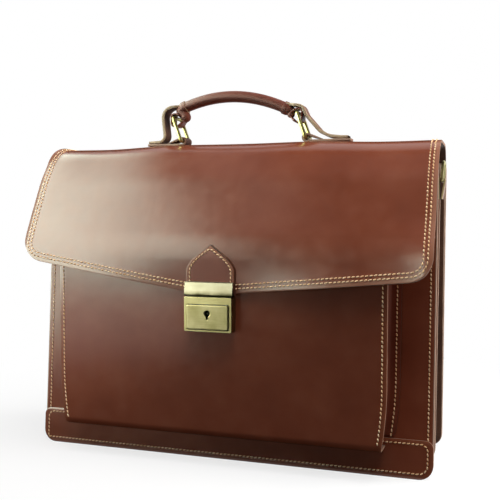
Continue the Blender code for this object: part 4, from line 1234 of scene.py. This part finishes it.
def strapPiece(node, hand, path, width, thickness, edge, middle, cover=None, back=None):
    # a rounded rectangle (width by thickness, both may change) carried along a line in the XZ
    # plane; its face, cut edges and back take the three materials
    count, columns = len(path), len(section)
    part, inset, level, sides = np.array(section).T
    half = np.broadcast_to(np.asarray(thickness, float) / 2, (count,))
    wide = np.broadcast_to(np.asarray(width, float) / 2, (count,))
    if hand < 0:
        path, half, wide = path[::-1], half[::-1], wide[::-1]
    across = wide[:, None] * part + strapArris * inset
    reach = (half[:, None] * level)[..., None]
    x, z = np.moveaxis(path[:, None] + outward(path)[:, None] * reach, -1, 0)
    faces = gridFaces(count, columns, closedColumns=True).tolist()
    last = (count - 1) * columns
    faces += [list(range(columns))[::-1], list(range(last, last + columns))]
    piece = meshPiece(
        node + "_leather",
        stacked(x, middle + across, z),
        faces,
        [cover or strapLeather, edge, back or strapFlesh],
        uv=stacked(across, lengthsAlong(path)[:, None]),
        attributes={"edgeGap": wide[:, None] - np.abs(across)},
        faceMaterial=np.concatenate([np.tile(sides, count - 1), [1, 1]]),
    )
    piece.data.set_sharp_from_angle(angle=math.radians(50))
    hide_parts(node)
    return piece


strapShape = {
    "holeRadius": 0.0032,
    "swell": 0.35,
    "loopWall": 0.0015,
    "baseWidth": 0.0156,
    "baseFold": 0.0165,
    "collar": 0.0011,  # its thickness round the grip
}
# lengths and bends (x, z and radius) that differ between the handle's two ends
strapEnds = {
    "right": {
        "base": 0.0442,
        "start": 0.0040,
        "neck": 0.0040,  # radius of the gathered end
        "away": 0.0086,
        "top": ((0.0042, 0.0, 0.006), (0.0080, -0.0092, 0.010)),
        "foot": ((0.0135, 0.0058, 0.012), (0.0225, 0.0012, 0.020), (0.0340, 0.0, 0.020)),
    },
    "left": {
        "base": 0.0395,
        "start": 0.0012,
        "neck": 0.0054,
        "away": 0.0098,
        "top": ((0.0138, 0.0036, 0.0105),),
        "foot": ((0.0190, 0.0, 0.0075),),
    },
}
gripRadius, wire = handleLook["gripRadius"], handleLook["wire"]
floorOfTabs, tabThick = flapTop + clearance, handleLook["strapThickness"]
roof = topBar + handleLook["ringHeight"] * (1 - math.cos(lean)) + wire + clearance
hole, loopWall = strapShape["holeRadius"], strapShape["loopWall"]
holeHigh, holeLow = roof - hole, roof - 0.0115 + hole
reach = hole + loopWall / 2
footLevel = floorOfTabs + tabThick * 1.5 + clearance
roofLevel = roof + loopWall + clearance + tabThick / 2
baseMiddle, sideThick = handleLook["baseMiddle"], sideLook["tabThickness"]
for hand, side in ((1, "right"), (-1, "left")):
    turned, shape = np.array([hand, 1]), strapEnds[side]
    ends = gripLine(41)[::hand] * turned
    end, course = ends[-1], unit(ends[-1] - ends[-2])
    # loop round the ring's top bar, both ends of it hidden in the neck
    neckX = middleX - shape["away"]
    corners = [
        (neckX, holeHigh + 0.001),
        (middleX - 0.002, holeHigh + reach),
        (middleX + reach, holeHigh + reach),
        (middleX + reach, holeLow - reach),
        (middleX - 0.003, holeLow - reach),
        (neckX, holeLow + 0.002),
    ]
    line = roundedPath(corners, [0, 0.004, reach * 0.98, reach * 0.98, 0.004, 0], steps=12)
    line = evenly(line)
    lengths = lengthsAlong(line)
    narrow = 1 - smoothStep(np.minimum(lengths, lengths[-1] - lengths), 0.002, 0.006)
    width = handleLook["strapWidth"] - 0.0006 - 0.0050 * narrow
    line = line * turned + [handleX, 0]
    node = f"handle_loop_{side}"
    looks = (gripLeather, handleY, gripLeather, flesh)
    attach(strapPiece(node, hand, line, width, loopWall, *looks), "handle")
    # neck: the grip's cover gathered from the end of the grip down to the loop, its end rounded
    # by r sqrt(1 - (1 - s / r)^2)
    thickness = shape["neck"]
    corners = [end - course * 0.0040, end + course * 0.0045]
    corners += [(neckX, holeHigh + 0.002), (neckX, holeLow + 0.0005)]
    neck = evenly(roundedPath(corners, [0, 0.003, 0.003, 0]), 0.0007)
    lengths = lengthsAlong(neck)
    left = np.minimum(lengths[-1] - lengths, thickness) / thickness
    bulb = np.sqrt(np.clip(1 - (1 - left) ** 2, 0.0006, 1))
    grown = smoothStep(lengths, 0.0045, 0.0105)
    size = (gripRadius + 0.0002) * (1 - grown) + thickness * grown
    neck = onHandle(neck * turned + [handleX, 0])
    rings = ringsRound(neck, size * bulb, allRound(24), stretch=1.12)
    piece = closedLoft(f"handle_neck_{side}_leather", rings, [neckLeather])
    settle(piece, "handle")
    # collar wrapped round the end of the grip, c proud at its cut edge and thinned to nothing
    collar = end + course * np.linspace(-0.0045, 0.0030, 12)[:, None]
    collar = onHandle(collar * turned + [handleX, 0])
    proud = strapShape["collar"] * (1 - smoothStep(np.linspace(0, 1, 12), 0.5, 1.0))
    rings = ringsRound(collar, gripRadius + proud, np.linspace(0, 2 * np.pi, 29))
    piece = gridPiece(f"handle_collar_{side}_leather", rings, gripHide, flip=True)
    giveWall(piece, 0.0012, arris=0.0002)
    settle(piece, "handle")
    # base tab turned round the ring's lower bar
    radius = wire + clearance + tabThick / 2
    foot = (middleX + shape["base"], floorOfTabs + tabThick / 2)
    fold = (middleX + strapShape["baseFold"], floorOfTabs + tabThick)
    turn = np.linspace(270, 75, 40)
    line = evenly(roundBar(foot, (middleX, barHeight), radius, turn, fold))
    lengths = lengthsAlong(line)
    thin = np.interp(lengths[-1] - lengths, [0, 0.010], [0.0006, tabThick])
    line = line * turned + [baseMiddle, 0]
    node, width = f"handle_base_{side}", strapShape["baseWidth"]
    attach(strapPiece(node, -hand, line, width, thin, rawEdge, handleY), "flap")
    # strap from the grip over the ring to the base tab
    start = end - course * 0.003 + np.array([-course[1], course[0]]) * shape["start"]
    anchor, bar = baseMiddle + hand * middleX, handleX + hand * middleX
    corners = [(hand * start[0] + handleX, start[1], 0)]
    corners += [(bar + hand * a, roofLevel + b, r) for a, b, r in shape["top"]]
    corners += [(anchor + hand * a, footLevel + b, r) for a, b, r in shape["foot"]]
    corners += [(anchor + hand * (shape["base"] - 0.001), footLevel, 0)]
    corners = np.array(corners)
    line = evenly(roundedPath(corners[:, :2], corners[:, 2], steps=10))
    lengths = lengthsAlong(line)
    width = handleLook["strapWidth"] - 0.0050 * smoothStep(-lengths, -0.010, -0.004)
    # the leather swells where it is bent: t (1 + k sin(pi s)^0.7), all of it outwards
    swell = np.sin(np.pi * lengths / lengths[-1]) ** 0.7 * tabThick * strapShape["swell"]
    line = line + outward(line) * hand * swell[:, None] / 2
    node = f"handle_strap_{side}"
    piece = strapPiece(node, hand, line, width, tabThick + swell, tanEdge, handleY)
    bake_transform(piece)
    # side tab over the side ring's lower bar
    bar = places[f"side_ring_{side}"] * [hand, 1, 1]
    radius = sideLook["wire"] + clearance + sideThick / 2
    low = bar[2] - sideLook["tabLength"]
    foot, back = (bar[0] - radius, low), (bar[0] + sideLook["tabBack"] - sideThick / 2, low)
    line = roundBar(foot, bar[[0, 2]], radius, np.linspace(180, 0, 24), back)
    line = evenly(line, 0.0005) * turned
    node, width = f"side_tab_{side}", sideLook["tabWidth"]
    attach(strapPiece(node, hand, line, width, sideThick, khakiEdge, bar[1]), "case")
print("handle made")

studio = {
    "lens": 54.17,
    "camera": (0.2489, -0.7357, 0.2388),
    "tilt": 87.25,
    "turn": 18.0,
    "fill": 0.18,  # strength of the soft light from all round
    "cardGlow": 14.0,
    "cardPlace": (-0.90, -0.55, 0.45),
    "cardFull": 0.4,  # the card is even inside this radius, in metres, and dark past the next
    "cardEnd": 2.55,
    "floorBounce": "#60605e",
    "floorSeen": "#fcfcfb",
    "floorHalf": 8,
}
# place, target, width, height and watts
softboxes = {
    "overhead softbox": ((0.35, -0.30, 1.7), (0, 0, 0.15), 1.3, 1.0, 27.5),
    "right softbox": ((1.0, -0.45, 0.35), (0.2, 0, 0.2), 0.5, 0.5, 0.35),
    "rear right softbox": ((0.9, 0.25, 0.35), (0.2, 0.02, 0.2), 0.5, 0.5, 9.0),
    "low left softbox": ((-0.42, -0.40, 0.08), (-0.22, -0.08, 0.13), 0.2, 0.1, 0.06),
}


def seenDirectly(tree):
    # 1 for what the camera, a mirror-like metal or a glass sees, 0 for light that falls on things
    path = addNode(tree, "LightPath").node.outputs
    total = (path["Is Camera Ray"], path["Is Glossy Ray"])
    total = (addNode(tree, "Math", total, operation="ADD"), path["Is Transmission Ray"])
    return addNode(tree, "Math", total, operation="ADD", use_clamp=True)


def bareMaterial(name):
    # a material without nodes, for a surface that gives light
    material = bpy.data.materials.new(name)
    material.use_nodes = True
    material.node_tree.nodes.clear()
    return material, material.node_tree


def stageSheet(name, corners, material):
    sheet = meshPiece(name, np.array(corners, float), [[0, 1, 2, 3]], [material])
    sheet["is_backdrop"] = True
    return sheet


# white seamless paper: pale near the object, so that its shadow shows, and plain white further off
floorMaterial, tree = bareMaterial("white seamless paper")
seen = seenDirectly(tree)
tint = {0: seen, 6: linear(studio["floorBounce"]), 7: linear(studio["floorSeen"])}
tint = addNode(tree, "Mix", tint, output=2, data_type="RGBA")
matt = addNode(tree, "BsdfDiffuse", {"Color": tint})
white = addNode(tree, "Emission", {"Color": (1, 1, 1, 1), "Strength": 1.0})
ground = addNode(tree, "TexCoord", output="Object")
away = addNode(tree, "VectorMath", (ground,), output="Value", operation="LENGTH")
fade = (away, 0.20, 0.55, 0.76, 1.0)
fade = addNode(tree, "MapRange", fade, interpolation_type="SMOOTHSTEP")
share = addNode(tree, "Math", (fade, seen), operation="MULTIPLY")
paper = addNode(tree, "MixShader", (share, matt, white))
addNode(tree, "OutputMaterial", {"Surface": paper})
half = studio["floorHalf"]
floorCorners = [(-half, -half, 0), (half, -half, 0), (half, half, 0), (-half, half, 0)]
stageSheet("studio_floor", floorCorners, floorMaterial)

# soft white light from all round, and plain white where it is seen directly
world = bpy.data.worlds.new("white studio")
bpy.context.scene.world = world
world.use_nodes = True
tree = world.node_tree
level = addNode(tree, "MapRange", (seenDirectly(tree), 0.0, 1.0, studio["fill"], 1.0))
setInputs(tree, tree.nodes["Background"], {"Color": (1, 1, 1, 1), "Strength": level})

for name, (place, target, width, height, power) in softboxes.items():
    data = bpy.data.lights.new(name, "AREA")
    data.shape = "RECTANGLE"
    data.size, data.size_y, data.energy = width, height, power
    lamp = bpy.data.objects.new(name, data)
    bpy.context.scene.collection.objects.link(lamp)
    lamp.location = place
    lamp.rotation_euler = (Vector(target) - Vector(place)).to_track_quat("-Z", "Y").to_euler()
    lamp.visible_glossy = False
bpy.data.lights["low left softbox"].spread = math.radians(45)


def reflector(name, corners, colour, glow, centre=None, full=0.0, end=0.0):
    # a studio card that only shows in reflections; a bright one fades out from its middle
    material, tree = bareMaterial(name)
    if centre:
        smooth = {"interpolation_type": "SMOOTHSTEP"}
        here = addNode(tree, "TexCoord", output="Object")
        away = (here, centre)
        away = addNode(tree, "VectorMath", away, output="Value", operation="DISTANCE")
        fade = addNode(tree, "MapRange", (away, full, end, glow, 0.0), **smooth)
        height = addNode(tree, "SeparateXYZ", (here,), output="Z")
        lower = addNode(tree, "MapRange", (height, 0.03, 0.15, 0.0, 1.0), **smooth)
        upper = addNode(tree, "MapRange", (height, 1.15, 2.3, 1.0, 0.0), **smooth)
        ends = addNode(tree, "Math", (lower, upper), operation="MULTIPLY")
        glow = addNode(tree, "Math", (fade, ends), operation="MULTIPLY")
    light = addNode(tree, "Emission", {"Color": linear(colour), "Strength": glow})
    addNode(tree, "OutputMaterial", {"Surface": light})
    card = stageSheet(name, corners, material)
    card.visible_camera = card.visible_diffuse = False
    card.visible_shadow = card.visible_transmission = False


(x, y, z), end = studio["cardPlace"], studio["cardEnd"]
low, far = 0.01, 0.7
cardCorners = [(x, y - end, low), (x, far, low), (x, far, end), (x, y - end, end)]
cardFade = (studio["cardPlace"], studio["cardFull"], end)
reflector("left_card", cardCorners, "#eeffed", studio["cardGlow"], *cardFade)
# dark cards keep the front and the right of the leather deep in colour: glow and corners
flags = {
    "front_flag": (0.3, (-0.45, -1.3, 0.0), (2.2, -1.3, 0.0), (2.2, -1.3, 2.0), (-0.45, -1.3, 2.0)),
    "top_flag": (1.2, (-0.55, -1.3, 2.0), (2.2, -1.3, 2.0), (2.2, 0.4, 2.0), (-0.55, 0.4, 2.0)),
    "back_flag": (0.3, (0.18, 1.2, 0.0), (-1.6, 1.2, 0.0), (-1.6, 1.2, 1.4), (0.18, 1.2, 1.4)),
    "near_floor_flag": (
        0.3,
        (-0.75, -0.56, 0.002),
        (1.4, -0.56, 0.002),
        (1.4, -0.03, 0.002),
        (-0.75, -0.03, 0.002),
    ),
    "far_floor_flag": (
        0.3,
        (-0.55, -1.3, 0.002),
        (1.4, -1.3, 0.002),
        (1.4, -0.56, 0.002),
        (-0.22, -0.56, 0.002),
    ),
}
for name, (glow, *corners) in flags.items():
    reflector(name, corners, "#1a1614", glow)

camera = bpy.data.objects.new("camera", bpy.data.cameras.new("camera"))
bpy.context.scene.collection.objects.link(camera)
camera.data.lens = studio["lens"]
camera.data.sensor_width = 36
camera.location = studio["camera"]
camera.rotation_euler = (math.radians(studio["tilt"]), 0, math.radians(studio["turn"]))
bpy.context.scene.camera = camera
bpy.context.scene.view_settings.view_transform = "Standard"
print("studio made")

corners = {"cad": [list(c) for c in cadBox], "visual": [list(c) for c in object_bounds()]}
